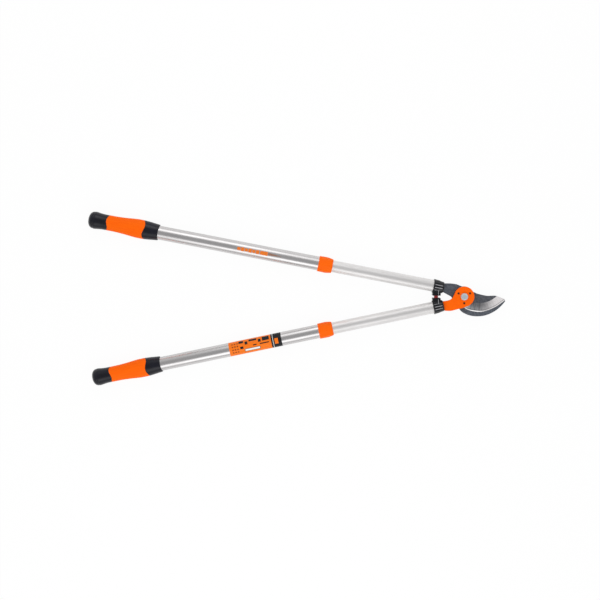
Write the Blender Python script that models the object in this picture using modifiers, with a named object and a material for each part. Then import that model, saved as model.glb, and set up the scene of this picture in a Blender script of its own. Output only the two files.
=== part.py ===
"""Telescopic bypass lopper, lying flat with its jaws closed and both handles drawn out.

Metres, +Z up. The origin lies on the pivot axis at ground level. +X runs along the centre line towards the
tip of the blade, and +Y towards the handle that carries the hook. Sizes along a handle are measured on its
axis, from the foot of the perpendicular that the pivot drops on it, towards the grip.
"""

import math

import bmesh
import bpy
import numpy as np
from mathutils import Matrix, Vector

# Fits
GAP = 0.0003                    # clearance between neighbouring pieces
SAME_POINT = 0.000002           # points closer than this are one point
OVERCUT = 0.002                 # a cutter stands this far out of what it cuts

# Handle geometry
HANDLE_SPREAD = math.radians(22.8)   # angle between the two handles with the jaws closed
AXES_MEET = 0.050               # the two handle axes meet this far ahead of the pivot

# Plates of the head
HOOK_THICKNESS = 0.0045
BLADE_THICKNESS = 0.0035
ARM_THICKNESS = 0.0040
PLATE_CHAMFER = 0.0004
ARM_DISC_RADIUS = 0.0224
BLADE_DISC_RADIUS = 0.0216
HOOK_DISC_RADIUS = 0.0220

# Tangs
TANG_SIDE_WALL = 0.0016         # the spigot keeps this wall beside a tang
TANG_STEP = 0.0018              # height of a tang's shoulder, which meets the ferrule
TANG_TAIL = 0.0265              # a tang ends this far behind its ferrule

# Cutting blade and hook
BLADE_REACH = 0.0892            # from the pivot axis to the tip
BLADE_BELLY = 0.0338            # deepest point of the cutting edge below the pivot axis
BLADE_SPINE = 0.0090            # the back of the blade where it leaves the disc
EDGE_LAND = 0.00025             # thickness left at the cutting edge
EDGE_BEVEL_WIDTH = 0.0036       # second, steeper bevel along the edge
EDGE_BEVEL_THICKNESS = 0.0013   # thickness of the blade where the second bevel starts
HOOK_LEAD = 0.0007              # the tip of the hook stands this far ahead of the blade's
HOOK_BAND = 0.0096              # the hook stands this far out below the belly of the blade
HOOK_OVERLAP = 0.0036           # the hook stands this far inside the cutting edge
HOOK_THROAT = 0.0200            # the hook's inner edge starts this far ahead of the pivot axis

# Pivot
PIVOT_SHANK_RADIUS = 0.0040
PIVOT_HEAD_RADIUS = 0.00775
PIVOT_HEAD_HEIGHT = 0.0032
PIVOT_DISH_RADIUS = 0.0050
PIVOT_DISH_DEPTH = 0.0007
PIVOT_HEAD_ROUND = 0.0008
WASHER_RADIUS = 0.0090
WASHER_THICKNESS = 0.0014
NUT_SIDES = 6
NUT_ACROSS_FLATS = 0.0150
NUT_CHAMFER = 0.0009
NUT_FLOOR = 0.0022              # closed end of the nut

# Rivets between the arm and the blade
RIVET_COUNT = 3
RIVET_CIRCLE_RADIUS = 0.0141
RIVET_FIRST_ANGLE = math.radians(30)
RIVET_HEAD_RADIUS = 0.0021
RIVET_SHANK_RADIUS = 0.0015
RIVET_SUNK = 0.0004             # the head lies this far below the face of the arm

# Ferrules
FERRULE_FRONT = 0.0470
FERRULE_LENGTH = 0.0215
FERRULE_WALL = 0.0012           # round the tube, at its rear
FERRULE_FLANGE = 0.0004         # the flange at the rear stands this far out
FERRULE_FLANGE_LENGTH = 0.0021
FERRULE_NOSE_LENGTH = 0.0115    # solid nose in front of the tube
FERRULE_NOSE_STEP = 0.0005      # the nose starts this far inside the ferrule's radius
FERRULE_NOSE_RADIUS = 0.0112
FERRULE_NOSE_ROUND = 0.0009
FERRULE_NOSE_RISE = 1.15        # the front of the nose is higher than it is wide
SPIGOT_SET_IN = 0.0015          # the spigot ends this far before the ferrule's rear
FERRULE_RIBS = 12               # the first ones stand half a pitch beside the top
FERRULE_RIB_HEIGHT = 0.0003
LOBE_SET_BACK = 0.0035          # the lobes start this far behind the ferrules' fronts
LOBE_LENGTH = 0.0175
LOBE_GAP = 0.0052               # between the two lobes with the jaws closed
LOBE_THICKNESS = 0.0170
LOBE_CORNER = 0.0014
LOBE_ROOT = 0.0030              # the lobe reaches this far inside the tube's radius, into the nose
LOBE_RIB_SET_BACK = 0.0051      # from the front of the lobe to its rib
LOBE_RIB_WIDTH = 0.0018
LOBE_RIB_HEIGHT = 0.0009

# Bumper
BUMPER_SET_BACK = 0.0092        # from the front of the lobe to the bumper's axis
BUMPER_RADIUS = 0.0048
BUMPER_WAIST = 0.0006
BUMPER_FLARE = 0.0014           # length of each flared end
BUMPER_STEM_RADIUS = 0.0020
BUMPER_STEM_LENGTH = 0.0050

# Tubes
INNER_TUBE_RADIUS = 0.0126
INNER_TUBE_WALL = 0.0012
INNER_TUBE_LENGTH = 0.2852
OUTER_TUBE_WALL = 0.0010
OUTER_TUBE_LENGTH = 0.4947
TUBE_OVERLAP = 0.0387           # length that the tubes share with the handle drawn out
PIN_RADIUS = 0.0025

# Guide bush at the rear end of the inner tube
BUSH_FLANGE_LENGTH = 0.0100
BUSH_SPIGOT_LENGTH = 0.0160
BUSH_WALL = 0.0026
BUSH_CHAMFER = 0.0006

# Twist lock
COLLAR_REACH = 0.0163           # the collar stands this far ahead of the outer tube
COLLAR_LENGTH = 0.0305
COLLAR_STEP = 0.0017            # the collar stands this far out round the outer tube
COLLAR_MOUTH_WALL = 0.0013
COLLAR_STRAIGHT = 0.0034        # the taper starts this far before the mouth of the outer tube
COLLAR_EDGE = 0.0010
COLLAR_LIP = 0.0020
COLLAR_LOBES = 8
COLLAR_LOBE_HEIGHT = 0.0004
COLLET_SLEEVE_WALL = 0.0006
COLLET_MOUTH_WALL = 0.0007
COLLET_HEAD_STEP = 0.0004       # the collet's head stays this far inside the outer tube's radius
COLLET_SLOT_WIDTH = 0.0011
COLLET_SLOT_PAIRS = 3
COLLET_SLOT_END = 0.0030        # the slots end this far before the mouth of the outer tube

# Grips
GRIP_LENGTH = 0.1520
GRIP_END_WALL = 0.0167          # thickness of the closed end behind the tube
GRIP_SWELL_ACROSS = 0.0053      # the grip's widest point stands this far out from the tube
GRIP_SWELL_UP = 0.0036          # and its highest point this far
GRIP_STATIONS = (               # shares of the length from the rim, of half the width and of half the height
    (0.000, 0.811, 0.880), (0.011, 0.846, 0.908), (0.072, 0.900, 0.940), (0.151, 0.965, 0.973),
    (0.230, 1.000, 1.000), (0.303, 1.000, 1.000), (0.382, 0.955, 0.978), (0.467, 0.891, 0.940),
    (0.579, 0.836, 0.908), (0.691, 0.821, 0.897), (0.790, 0.826, 0.902), (0.849, 0.866, 0.940),
    (0.901, 0.915, 0.984), (0.941, 0.915, 0.984), (0.967, 0.856, 0.924), (0.987, 0.711, 0.772),
    (0.997, 0.473, 0.516), (1.000, 0.000, 0.000),
)
GRIP_FRONT_SEAM = 0.0320        # from the rim to the front seam between black and orange
GRIP_REAR_SEAM = 0.1110
SEAM_WAVES = 3
FRONT_WAVE_HEIGHT = 0.0022
REAR_WAVE_HEIGHT = 0.0018
SEAM_WAVE_REACH = 0.0120        # the wave of a seam dies out over this length
RIM_HOLLOW = 0.0014             # the rim is hollowed this far above and below

# Plug in the rear end of the outer tube
PLUG_LENGTH = 0.0200
PLUG_WALL = 0.0020

# Round pieces are turned in this many steps
TUBE_STEPS = 36
PIVOT_STEPS = 24
PIN_STEPS = 12
LOCK_STEPS = 32
GRIP_STEPS = 32

# Degrees between the points of an arc, steps to a span of a smooth curve, and the sharpest smooth edge
DISC_PITCH = 8
CORNER_PITCH = 30
EDGE_CURVE_STEPS = 4
PLATE_CURVE_STEPS = 3
SMOOTH_ANGLE = math.radians(32)

# What follows from the sizes above: radii, then places along a handle's axis, then places in the head
INNER_BORE = INNER_TUBE_RADIUS - INNER_TUBE_WALL
SLIDING_RADIUS = INNER_TUBE_RADIUS + GAP
OUTER_BORE = SLIDING_RADIUS + COLLET_SLEEVE_WALL + GAP
OUTER_TUBE_RADIUS = OUTER_BORE + OUTER_TUBE_WALL
SPIGOT_RADIUS = INNER_BORE - GAP
FERRULE_RADIUS = SLIDING_RADIUS + FERRULE_WALL
COLLAR_RADIUS = OUTER_TUBE_RADIUS + COLLAR_STEP
COLLET_MOUTH_RADIUS = SLIDING_RADIUS + COLLET_MOUTH_WALL
COLLET_HEAD_RADIUS = OUTER_TUBE_RADIUS - COLLET_HEAD_STEP
COLLAR_MOUTH_RADIUS = COLLET_MOUTH_RADIUS + GAP + COLLAR_MOUTH_WALL
GRIP_BORE = OUTER_TUBE_RADIUS + GAP
GRIP_HALF_WIDTH = OUTER_TUBE_RADIUS + GRIP_SWELL_ACROSS
GRIP_HALF_HEIGHT = OUTER_TUBE_RADIUS + GRIP_SWELL_UP
AXIS_HEIGHT = GRIP_HALF_HEIGHT  # the grips rest on the ground

FERRULE_REAR = FERRULE_FRONT + FERRULE_LENGTH
SPIGOT_END = FERRULE_REAR - SPIGOT_SET_IN
TANG_SHOULDER = FERRULE_FRONT - GAP
TANG_END = FERRULE_REAR + TANG_TAIL
NOSE_END = FERRULE_FRONT + FERRULE_NOSE_LENGTH
PIN_PLACE = (NOSE_END + SPIGOT_END) / 2
INNER_TUBE_FRONT = NOSE_END + GAP
INNER_TUBE_REAR = INNER_TUBE_FRONT + INNER_TUBE_LENGTH
OUTER_TUBE_FRONT = INNER_TUBE_REAR - TUBE_OVERLAP
OUTER_TUBE_REAR = OUTER_TUBE_FRONT + OUTER_TUBE_LENGTH
COLLAR_FRONT = OUTER_TUBE_FRONT - COLLAR_REACH
GRIP_RIM = OUTER_TUBE_REAR + GAP + GRIP_END_WALL - GRIP_LENGTH

HALF_SPREAD = HANDLE_SPREAD / 2
AXIS_OFFSET = AXES_MEET * math.sin(HALF_SPREAD)
STACK_TOP = (HOOK_THICKNESS + BLADE_THICKNESS + ARM_THICKNESS + 2 * GAP) / 2
ARM_LEVEL = STACK_TOP - ARM_THICKNESS / 2
BLADE_LEVEL = STACK_TOP - ARM_THICKNESS - GAP - BLADE_THICKNESS / 2
HOOK_LEVEL = -STACK_TOP + HOOK_THICKNESS / 2
TANG_NARROW_HALF = math.sqrt(SPIGOT_RADIUS ** 2 - STACK_TOP ** 2) - TANG_SIDE_WALL
TANG_WIDE_HALF = TANG_NARROW_HALF + TANG_STEP
HOOK_REACH = BLADE_REACH + HOOK_LEAD
HOOK_BELLY = BLADE_BELLY + HOOK_BAND
LOBE_FRONT_X = -FERRULE_FRONT - LOBE_SET_BACK
LOBE_REAR_X = LOBE_FRONT_X - LOBE_LENGTH
LOBE_RIB_X = LOBE_FRONT_X - LOBE_RIB_SET_BACK
BUMPER_X = LOBE_FRONT_X - BUMPER_SET_BACK

UPPER = 1                       # the hook's handle, towards +Y
LOWER = -1                      # the blade's handle, towards -Y
SIDE_NAMES = {UPPER: "upper", LOWER: "lower"}
SEAM_CRESTS = {UPPER: (120, 70), LOWER: (80, 130)}   # degrees from the outer side, front and rear seam
ACROSS = (0, math.pi / 2, 0)    # turns a round piece on a handle's axis to stand upright


# Scene and collections

def start_collection(name):
    """A fresh collection in the scene."""
    collection = bpy.data.collections.new(name)
    bpy.context.scene.collection.children.link(collection)
    return collection


for leftover in list(bpy.data.objects):
    bpy.data.objects.remove(leftover, do_unlink=True)
PARTS = start_collection("telescopic_lopper")
CUTTERS = start_collection("cutters")


# Finishes

def finish(name, colour, roughness, metallic=0.0):
    """A Principled material of one colour."""
    material = bpy.data.materials.new(name)
    material.use_nodes = True
    shader = material.node_tree.nodes["Principled BSDF"]
    shader.inputs["Base Color"].default_value = (*colour, 1.0)
    shader.inputs["Roughness"].default_value = roughness
    shader.inputs["Metallic"].default_value = metallic
    return material


ORANGE_PAINT = finish("orange_paint", (1.0, 0.13, 0.005), 0.38)
ORANGE_PLASTIC = finish("orange_plastic", (1.0, 0.14, 0.005), 0.45)
BLACK_RUBBER = finish("black_rubber", (0.018, 0.021, 0.030), 0.62)
BLACK_PLASTIC = finish("black_plastic", (0.012, 0.014, 0.019), 0.30)
RED_RUBBER = finish("red_rubber", (0.45, 0.010, 0.020), 0.55)
COATED_STEEL = finish("coated_steel", (0.075, 0.082, 0.095), 0.42, 0.6)
GROUND_STEEL = finish("ground_steel", (0.42, 0.42, 0.43), 0.30, 1.0)
ZINC = finish("zinc", (0.62, 0.65, 0.70), 0.32, 1.0)
DARK_STEEL = finish("dark_steel", (0.09, 0.05, 0.04), 0.45, 0.8)
ALUMINIUM = finish("aluminium", (0.80, 0.80, 0.79), 0.26, 1.0)
NYLON = finish("nylon", (0.035, 0.035, 0.038), 0.50)


# Modelling tools

def link(name, data, parent, location=(0, 0, 0), rotation=(0, 0, 0), collection=PARTS):
    """An object that holds the data and stands in its parent's frame."""
    item = bpy.data.objects.new(name, data)
    item.parent = parent
    item.location = location
    item.rotation_euler = rotation
    collection.objects.link(item)
    if collection is CUTTERS:
        item.hide_render = True
        item.display_type = "WIRE"
    return item


def dress(item, material):
    """Gives a mesh object its material and smooth shading between its real edges."""
    item.data.materials.clear()
    item.data.materials.append(material)
    item.data.shade_smooth()
    item.data.set_sharp_from_angle(angle=SMOOTH_ANGLE)
    return item


def settle(item):
    """Replaces an object's curve, or its mesh with modifiers, by the evaluated mesh with its seams closed."""
    bpy.context.view_layer.update()
    evaluated = item.evaluated_get(bpy.context.evaluated_depsgraph_get())
    mesh = bpy.data.meshes.new_from_object(evaluated)
    work = bmesh.new()
    work.from_mesh(mesh)
    bmesh.ops.remove_doubles(work, verts=work.verts, dist=SAME_POINT)
    work.to_mesh(mesh)
    work.free()
    name, parent, local = item.name, item.parent, item.matrix_basis.copy()
    collection = item.users_collection[0]
    bpy.data.objects.remove(item, do_unlink=True)
    settled = link(name, mesh, parent, collection=collection)
    settled.matrix_basis = local
    return settled


def turned(name, outline, parent, steps=TUBE_STEPS, location=(0, 0, 0), rotation=(0, 0, 0),
           collection=PARTS):
    """A solid turned about Z; the outline lists (radius, height) down its outer side, then up its bore."""
    on_axis = outline[0][0] == 0 and outline[-1][0] == 0
    count = len(outline)
    mesh = bpy.data.meshes.new(name)
    edges = [(i, (i + 1) % count) for i in range(count - 1 if on_axis else count)]
    mesh.from_pydata([(radius, 0, height) for radius, height in outline], edges, [])
    item = link(name, mesh, parent, location, rotation, collection)
    screw = item.modifiers.new("turn", "SCREW")
    screw.axis = "Z"
    screw.steps = screw.render_steps = steps
    screw.use_merge_vertices = True
    screw.merge_threshold = SAME_POINT
    return settle(item)


def ring(name, outer, bore, low, high, parent, **placing):
    """A plain sleeve or washer between two heights."""
    return turned(name, [(bore, high), (outer, high), (outer, low), (bore, low)], parent, **placing)


def extruded(name, outline, thickness, parent, location=(0, 0, 0), chamfer=0.0, holes=(),
             collection=PARTS):
    """A flat plate from a 2D curve, centred on its level, with chamfered rims and round holes."""
    curve = bpy.data.curves.new(name, "CURVE")
    curve.dimensions = "2D"
    curve.fill_mode = "BOTH"
    curve.extrude = thickness / 2 - chamfer
    curve.bevel_depth = chamfer
    curve.bevel_resolution = 0
    curve.offset = -chamfer
    for loop in (outline, *holes):
        spline = curve.splines.new("POLY")
        spline.points.add(len(loop) - 1)
        for point, (x, y) in zip(spline.points, loop):
            point.co = (x, y, 0, 1)
        spline.use_cyclic_u = True
    return settle(link(name, curve, parent, location, collection=collection))


def block(name, low, high, parent):
    """A box-shaped cutter between two corners."""
    low, high = Vector(low), Vector(high)
    work = bmesh.new()
    bmesh.ops.create_cube(work, size=1, matrix=Matrix.Translation((low + high) / 2)
                          @ Matrix.Diagonal((*(high - low), 1)))
    mesh = bpy.data.meshes.new(name)
    work.to_mesh(mesh)
    work.free()
    return link(name, mesh, parent, collection=CUTTERS)


def combine(item, other, operation="DIFFERENCE"):
    """Cuts the other object out of the item, or joins it on."""
    modifier = item.modifiers.new(other.name, "BOOLEAN")
    modifier.operation = operation
    modifier.object = other
    modifier.solver = "EXACT"


# Outlines

def arc(radius, start, end, centre=(0, 0), pitch=DISC_PITCH):
    """Points of a circle's arc between two angles in degrees."""
    steps = max(1, round(abs(end - start) / pitch))
    angles = [math.radians(start + (end - start) * i / steps) for i in range(steps + 1)]
    return [(centre[0] + radius * math.cos(a), centre[1] + radius * math.sin(a)) for a in angles]


def circle(radius, centre=(0, 0), steps=PIVOT_STEPS):
    """Points of a full circle."""
    return arc(radius, 0, 360 - 360 / steps, centre, 360 / steps)


def smooth(points, steps=PLATE_CURVE_STEPS):
    """A smooth open curve through the points, as a Catmull-Rom spline with so many steps a span."""
    points = [np.array(point, dtype=float) for point in points]
    padded = [2 * points[0] - points[1], *points, 2 * points[-1] - points[-2]]
    curve = []
    for before, start, end, after in zip(padded, padded[1:], padded[2:], padded[3:]):
        for i in range(steps):
            t = i / steps
            curve.append(0.5 * (2 * start + (end - before) * t
                                + (2 * before - 5 * start + 4 * end - after) * t ** 2
                                + (3 * start - before - 3 * end + after) * t ** 3))
    curve.append(points[-1])
    return [tuple(point) for point in curve]


def beside(side, along, outward):
    """A point of the head's plane, given along a handle's axis and outwards from it."""
    lean = (math.sin(HALF_SPREAD), side * math.cos(HALF_SPREAD))
    run = (-math.cos(HALF_SPREAD), side * math.sin(HALF_SPREAD))
    across = AXIS_OFFSET + outward
    return (across * lean[0] + along * run[0], across * lean[1] + along * run[1])


def tang(side):
    """The tang's end as it lies in the tube, from the inner shoulder round to the outer one."""
    return [beside(side, TANG_SHOULDER, -TANG_WIDE_HALF),
            beside(side, TANG_SHOULDER, -TANG_NARROW_HALF),
            beside(side, TANG_END, -TANG_NARROW_HALF),
            beside(side, TANG_END, TANG_NARROW_HALF),
            beside(side, TANG_SHOULDER, TANG_NARROW_HALF),
            beside(side, TANG_SHOULDER, TANG_WIDE_HALF)]


def scaled(shares, reach, depth):
    """Points given as shares of a reach along X and of a depth below the pivot."""
    return [(x * reach, -y * depth) for x, y in shares]


# Frames: a pivot frame for each half of the head, and a frame on each handle's axis with Z towards the
# grip, X upwards and Y across

def pivot_frame(name):
    """An empty on the pivot axis, level with the handle axes."""
    return link(name, None, None, (0, 0, AXIS_HEIGHT))


def handle_frame(side, parent):
    """An empty on a handle's axis."""
    frame = link(SIDE_NAMES[side] + "_handle_axis", None, parent)
    run = Vector((-math.cos(HALF_SPREAD), side * math.sin(HALF_SPREAD), 0))
    up = Vector((0, 0, 1))
    turn = Matrix((up, run.cross(up), run)).transposed().to_4x4()
    frame.matrix_basis = Matrix.Translation((*beside(side, 0, 0), 0)) @ turn
    return frame


# Head

def pivot_hole():
    """The hole that a plate has for the pivot bolt."""
    return circle(PIVOT_SHANK_RADIUS + GAP)


def pin_hole(side):
    """The hole that a tang has for its pin."""
    return circle(PIN_RADIUS + GAP, beside(side, PIN_PLACE, 0), PIN_STEPS)


def rivet_places():
    """Centres of the rivets round the pivot."""
    angles = [RIVET_FIRST_ANGLE + 2 * math.pi * i / RIVET_COUNT for i in range(RIVET_COUNT)]
    return [(RIVET_CIRCLE_RADIUS * math.cos(a), RIVET_CIRCLE_RADIUS * math.sin(a)) for a in angles]


def rivet_holes(radius):
    """A hole of this radius at each rivet."""
    return [circle(radius + GAP, place, PIN_STEPS) for place in rivet_places()]


# Points of the blade and the hook, as shares of the reach along X and of the belly below the pivot: the
# cutting edge and the line where its grinding starts, from the heel to the tip, the back of the blade and the
# outer edge of the hook, from the tip to the heel
EDGE_SHARES = ((0.058, 0.808), (0.194, 0.932), (0.364, 1.000), (0.521, 0.947), (0.740, 0.719),
               (0.889, 0.464), (0.985, 0.266))
GRIND_SHARES = ((0.048, 0.592), (0.102, 0.568), (0.233, 0.444), (0.388, 0.426), (0.516, 0.382),
                (0.656, 0.237), (0.779, 0.009), (0.897, -0.207))
SPINE_SHARES = ((0.993, 0.219), (0.886, 0.095), (0.751, -0.030), (0.553, -0.032), (0.335, -0.160))
HOOK_SHARES = ((0.992, 0.253), (0.907, 0.463), (0.783, 0.691), (0.617, 0.885), (0.451, 0.984),
               (0.273, 0.998), (0.133, 0.947), (0.016, 0.847), (-0.058, 0.747), (-0.117, 0.585))

# Points between a disc and its tang, as shares of the disc's radius along X and below the pivot
ARM_LOWER_BEND = ((-0.156, 1.094), (-0.469, 1.156))
ARM_UPPER_BEND = ((-1.504, 0.353), (-1.170, 0.170))
HOOK_BACK_BEND = ((-1.273, -1.259), (-0.727, -1.182), (-0.341, -1.027))
HOOK_HEEL_BEND = ((-0.841, 0.750), (-1.055, 0.341), (-1.227, 0.036), (-1.568, -0.164))

# Degrees at which the edges of the plates leave their discs
SPINE_LEAVES, EDGE_LEAVES = 28, 266
ARM_UPPER_LEAVES, ARM_LOWER_LEAVES = 166, -78
HOOK_BACK_LEAVES, HOOK_THROAT_LEAVES = 98, -48


def blade_disc():
    """Points round the blade's disc, from the back of the blade to the heel of its edge."""
    return arc(BLADE_DISC_RADIUS, SPINE_LEAVES, EDGE_LEAVES)


def blade_edge():
    """Points of the cutting edge from the heel to the tip."""
    return smooth([blade_disc()[-1], *scaled(EDGE_SHARES, BLADE_REACH, BLADE_BELLY)], EDGE_CURVE_STEPS)


def blade_outline():
    """The blade's blank: its disc, the cutting edge and the back."""
    spine = scaled(SPINE_SHARES, BLADE_REACH, BLADE_BELLY) + [(BLADE_DISC_RADIUS, BLADE_SPINE)]
    return blade_disc()[:-1] + blade_edge() + smooth(spine)[:-1]


def grinding(parent):
    """The wedge that is ground off along the edge, as a loft over its sections from heel to tip."""
    top, bottom = BLADE_THICKNESS / 2, -BLADE_THICKNESS / 2
    grind = smooth(scaled(GRIND_SHARES, BLADE_REACH, BLADE_BELLY), EDGE_CURVE_STEPS)
    work = bmesh.new()
    sections = []
    for edge_point, grind_point in zip(blade_edge(), grind):
        edge = Vector((*edge_point, bottom + EDGE_LAND))
        start = Vector((*grind_point, top))
        inward = Vector((start.x - edge.x, start.y - edge.y, 0))
        middle = edge + inward.normalized() * EDGE_BEVEL_WIDTH
        middle.z = bottom + EDGE_BEVEL_THICKNESS
        above = start + (start - middle).normalized() * OVERCUT
        outside = edge + (edge - middle).normalized() * OVERCUT
        roof = top + OVERCUT
        corners = (above, middle, outside, (outside.x, outside.y, roof), (above.x, above.y, roof))
        sections.append([work.verts.new(corner) for corner in corners])
    for one, two in zip(sections, sections[1:]):
        for i in range(len(one)):
            j = (i + 1) % len(one)
            work.faces.new((one[i], one[j], two[j], two[i]))
    work.faces.new(sections[0][::-1])
    work.faces.new(sections[-1])
    bmesh.ops.recalc_face_normals(work, faces=work.faces)
    mesh = bpy.data.meshes.new("edge_grinding")
    work.to_mesh(mesh)
    work.free()
    return link("edge_grinding", mesh, parent, (0, 0, BLADE_LEVEL), collection=CUTTERS)


def make_cutting_blade(frame):
    """The blade: ground in two bevels on the side that faces up, flat on the side of the hook."""
    blade = extruded("cutting_blade", blade_outline(), BLADE_THICKNESS, frame, (0, 0, BLADE_LEVEL),
                     holes=[pivot_hole(), *rivet_holes(RIVET_SHANK_RADIUS)])
    combine(blade, grinding(frame))
    dress(blade, GROUND_STEEL)


def make_blade_arm(frame):
    """The arm that carries the blade: a disc round the pivot that runs out into the lower tang."""
    disc = arc(ARM_DISC_RADIUS, ARM_UPPER_LEAVES, ARM_LOWER_LEAVES)
    lower_edge = smooth([disc[-1], *scaled(ARM_LOWER_BEND, ARM_DISC_RADIUS, ARM_DISC_RADIUS),
                         beside(LOWER, TANG_SHOULDER, TANG_WIDE_HALF)])
    upper_edge = smooth([beside(LOWER, TANG_SHOULDER, -TANG_WIDE_HALF),
                         *scaled(ARM_UPPER_BEND, ARM_DISC_RADIUS, ARM_DISC_RADIUS), disc[0]])
    outline = disc[:-1] + lower_edge[:-1] + tang(LOWER)[::-1] + upper_edge[1:-1]
    arm = extruded("blade_arm", outline, ARM_THICKNESS, frame, (0, 0, ARM_LEVEL), PLATE_CHAMFER,
                   [pivot_hole(), pin_hole(LOWER), *rivet_holes(RIVET_HEAD_RADIUS)])
    dress(arm, ORANGE_PAINT)


def hook_inner_edge():
    """The edge that the blade passes, from the disc to the tip, set inside the cutting edge."""
    edge = blade_edge()
    points = []
    for before, here, after in zip(edge, edge[1:], edge[2:] + edge[-1:]):
        run = Vector((after[0] - before[0], after[1] - before[1])).normalized()
        if here[0] > HOOK_THROAT:
            points.append((here[0] - run.y * HOOK_OVERLAP, here[1] + run.x * HOOK_OVERLAP))
    return points


def make_hook_plate(frame):
    """The hook with its tang: one plate under the blade."""
    outer = smooth(scaled(HOOK_SHARES, HOOK_REACH, HOOK_BELLY))
    back = smooth([beside(UPPER, TANG_SHOULDER, TANG_WIDE_HALF),
                   *scaled(HOOK_BACK_BEND, HOOK_DISC_RADIUS, HOOK_DISC_RADIUS)])
    heel = smooth([outer[-1], *scaled(HOOK_HEEL_BEND, HOOK_DISC_RADIUS, HOOK_DISC_RADIUS),
                   beside(UPPER, TANG_SHOULDER, -TANG_WIDE_HALF)])
    outline = (back + arc(HOOK_DISC_RADIUS, HOOK_BACK_LEAVES, HOOK_THROAT_LEAVES) + hook_inner_edge()
               + outer[:-1] + heel[:-1] + tang(UPPER)[:-1])
    hook = extruded("hook_plate", outline, HOOK_THICKNESS, frame, (0, 0, HOOK_LEVEL), PLATE_CHAMFER,
                    [pivot_hole(), pin_hole(UPPER)])
    dress(hook, COATED_STEEL)


def make_pivot(frame):
    """The pivot bolt, with its washer and its closed nut under the hook."""
    head_seat = STACK_TOP + GAP
    head_top = head_seat + PIVOT_HEAD_HEIGHT
    washer_top = -STACK_TOP - GAP
    nut_top = washer_top - WASHER_THICKNESS - GAP
    shank_end = -AXIS_HEIGHT + NUT_FLOOR + GAP
    dish = head_top - PIVOT_DISH_DEPTH
    bolt = turned("pivot_bolt", [
        (0, dish), (PIVOT_DISH_RADIUS, dish), (PIVOT_DISH_RADIUS + PIVOT_DISH_DEPTH, head_top),
        (PIVOT_HEAD_RADIUS - PIVOT_HEAD_ROUND, head_top), (PIVOT_HEAD_RADIUS, head_top - PIVOT_HEAD_ROUND),
        (PIVOT_HEAD_RADIUS, head_seat), (PIVOT_SHANK_RADIUS, head_seat), (PIVOT_SHANK_RADIUS, shank_end),
        (0, shank_end)], frame, PIVOT_STEPS)
    dress(bolt, ZINC)
    washer = ring("pivot_washer", WASHER_RADIUS, PIVOT_SHANK_RADIUS + GAP, washer_top - WASHER_THICKNESS,
                  washer_top, frame, steps=PIVOT_STEPS)
    dress(washer, ZINC)
    corner = NUT_ACROSS_FLATS / 2 / math.cos(math.pi / NUT_SIDES)
    nut_height = nut_top + AXIS_HEIGHT
    nut = extruded("pivot_nut", circle(corner, steps=NUT_SIDES), nut_height, frame,
                   (0, 0, nut_top - nut_height / 2), NUT_CHAMFER)
    bore = turned("nut_bore", [(0, nut_top + OVERCUT), (PIVOT_SHANK_RADIUS + GAP, nut_top + OVERCUT),
                               (PIVOT_SHANK_RADIUS + GAP, shank_end - GAP), (0, shank_end - GAP)],
                  frame, PIVOT_STEPS, collection=CUTTERS)
    combine(nut, bore)
    dress(nut, ZINC)


def make_rivets(frame):
    """Shouldered rivets that hold the blade to its arm."""
    top = STACK_TOP - RIVET_SUNK
    shoulder = STACK_TOP - ARM_THICKNESS
    foot = BLADE_LEVEL - BLADE_THICKNESS / 2
    for number, (x, y) in enumerate(rivet_places(), start=1):
        rivet = turned(f"blade_rivet_{number}", [
            (0, top), (RIVET_HEAD_RADIUS, top), (RIVET_HEAD_RADIUS, shoulder),
            (RIVET_SHANK_RADIUS, shoulder), (RIVET_SHANK_RADIUS, foot), (0, foot)],
            frame, PIN_STEPS, (x, y, 0))
        dress(rivet, DARK_STEEL)


# Ferrules and bumper

def rippled(item, count, height, inner_radius, low, high):
    """Raises and lowers the outer skin of a turned piece round its axis, between two heights."""
    for vertex in item.data.vertices:
        x, y, z = vertex.co
        radius = math.hypot(x, y)
        if radius > inner_radius and low < z < high:
            share = 1 + height * math.cos(count * math.atan2(y, x)) / radius
            vertex.co = (x * share, y * share, z)


def lobe_root():
    """The point of the head's plane, inside the upper ferrule, at which its stop lobe starts."""
    return beside(UPPER, FERRULE_REAR - LOBE_CORNER, LOBE_ROOT - INNER_TUBE_RADIUS)


def lobe_outline(side):
    """The stop lobe in the head's plane, from inside the ferrule to its face by the centre line."""
    face, corner = LOBE_GAP / 2, LOBE_CORNER
    root = lobe_root()
    points = [root,
              *arc(corner, 180, 270, (LOBE_REAR_X + corner, face + corner), CORNER_PITCH),
              *arc(corner, 270, 360, (LOBE_FRONT_X - corner, face + corner), CORNER_PITCH),
              (LOBE_FRONT_X, root[1])]
    return [(x, side * y) for x, y in points]


def make_lobe(side, frame, axis):
    """The stop lobe with its rib, cut back to end in the ferrule's wall, clear of the tube."""
    name = SIDE_NAMES[side]
    lobe = extruded(name + "_lobe", lobe_outline(side), LOBE_THICKNESS, frame, chamfer=PLATE_CHAMFER,
                    collection=CUTTERS)
    rib_half = LOBE_THICKNESS / 2 + LOBE_RIB_HEIGHT
    rib_ends = sorted((side * (LOBE_GAP / 2 + LOBE_CORNER), side * lobe_root()[1]))
    rib = block(name + "_lobe_rib", (LOBE_RIB_X - LOBE_RIB_WIDTH / 2, rib_ends[0], -rib_half),
                (LOBE_RIB_X + LOBE_RIB_WIDTH / 2, rib_ends[1], rib_half), frame)
    combine(lobe, rib, "UNION")
    room = SLIDING_RADIUS + GAP / 2
    low, high = NOSE_END - GAP, FERRULE_REAR + OVERCUT
    tube_room = turned(name + "_tube_room", [(0, high), (room, high), (room, low), (0, low)], axis,
                       collection=CUTTERS)
    combine(lobe, tube_room)
    return lobe


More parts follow.
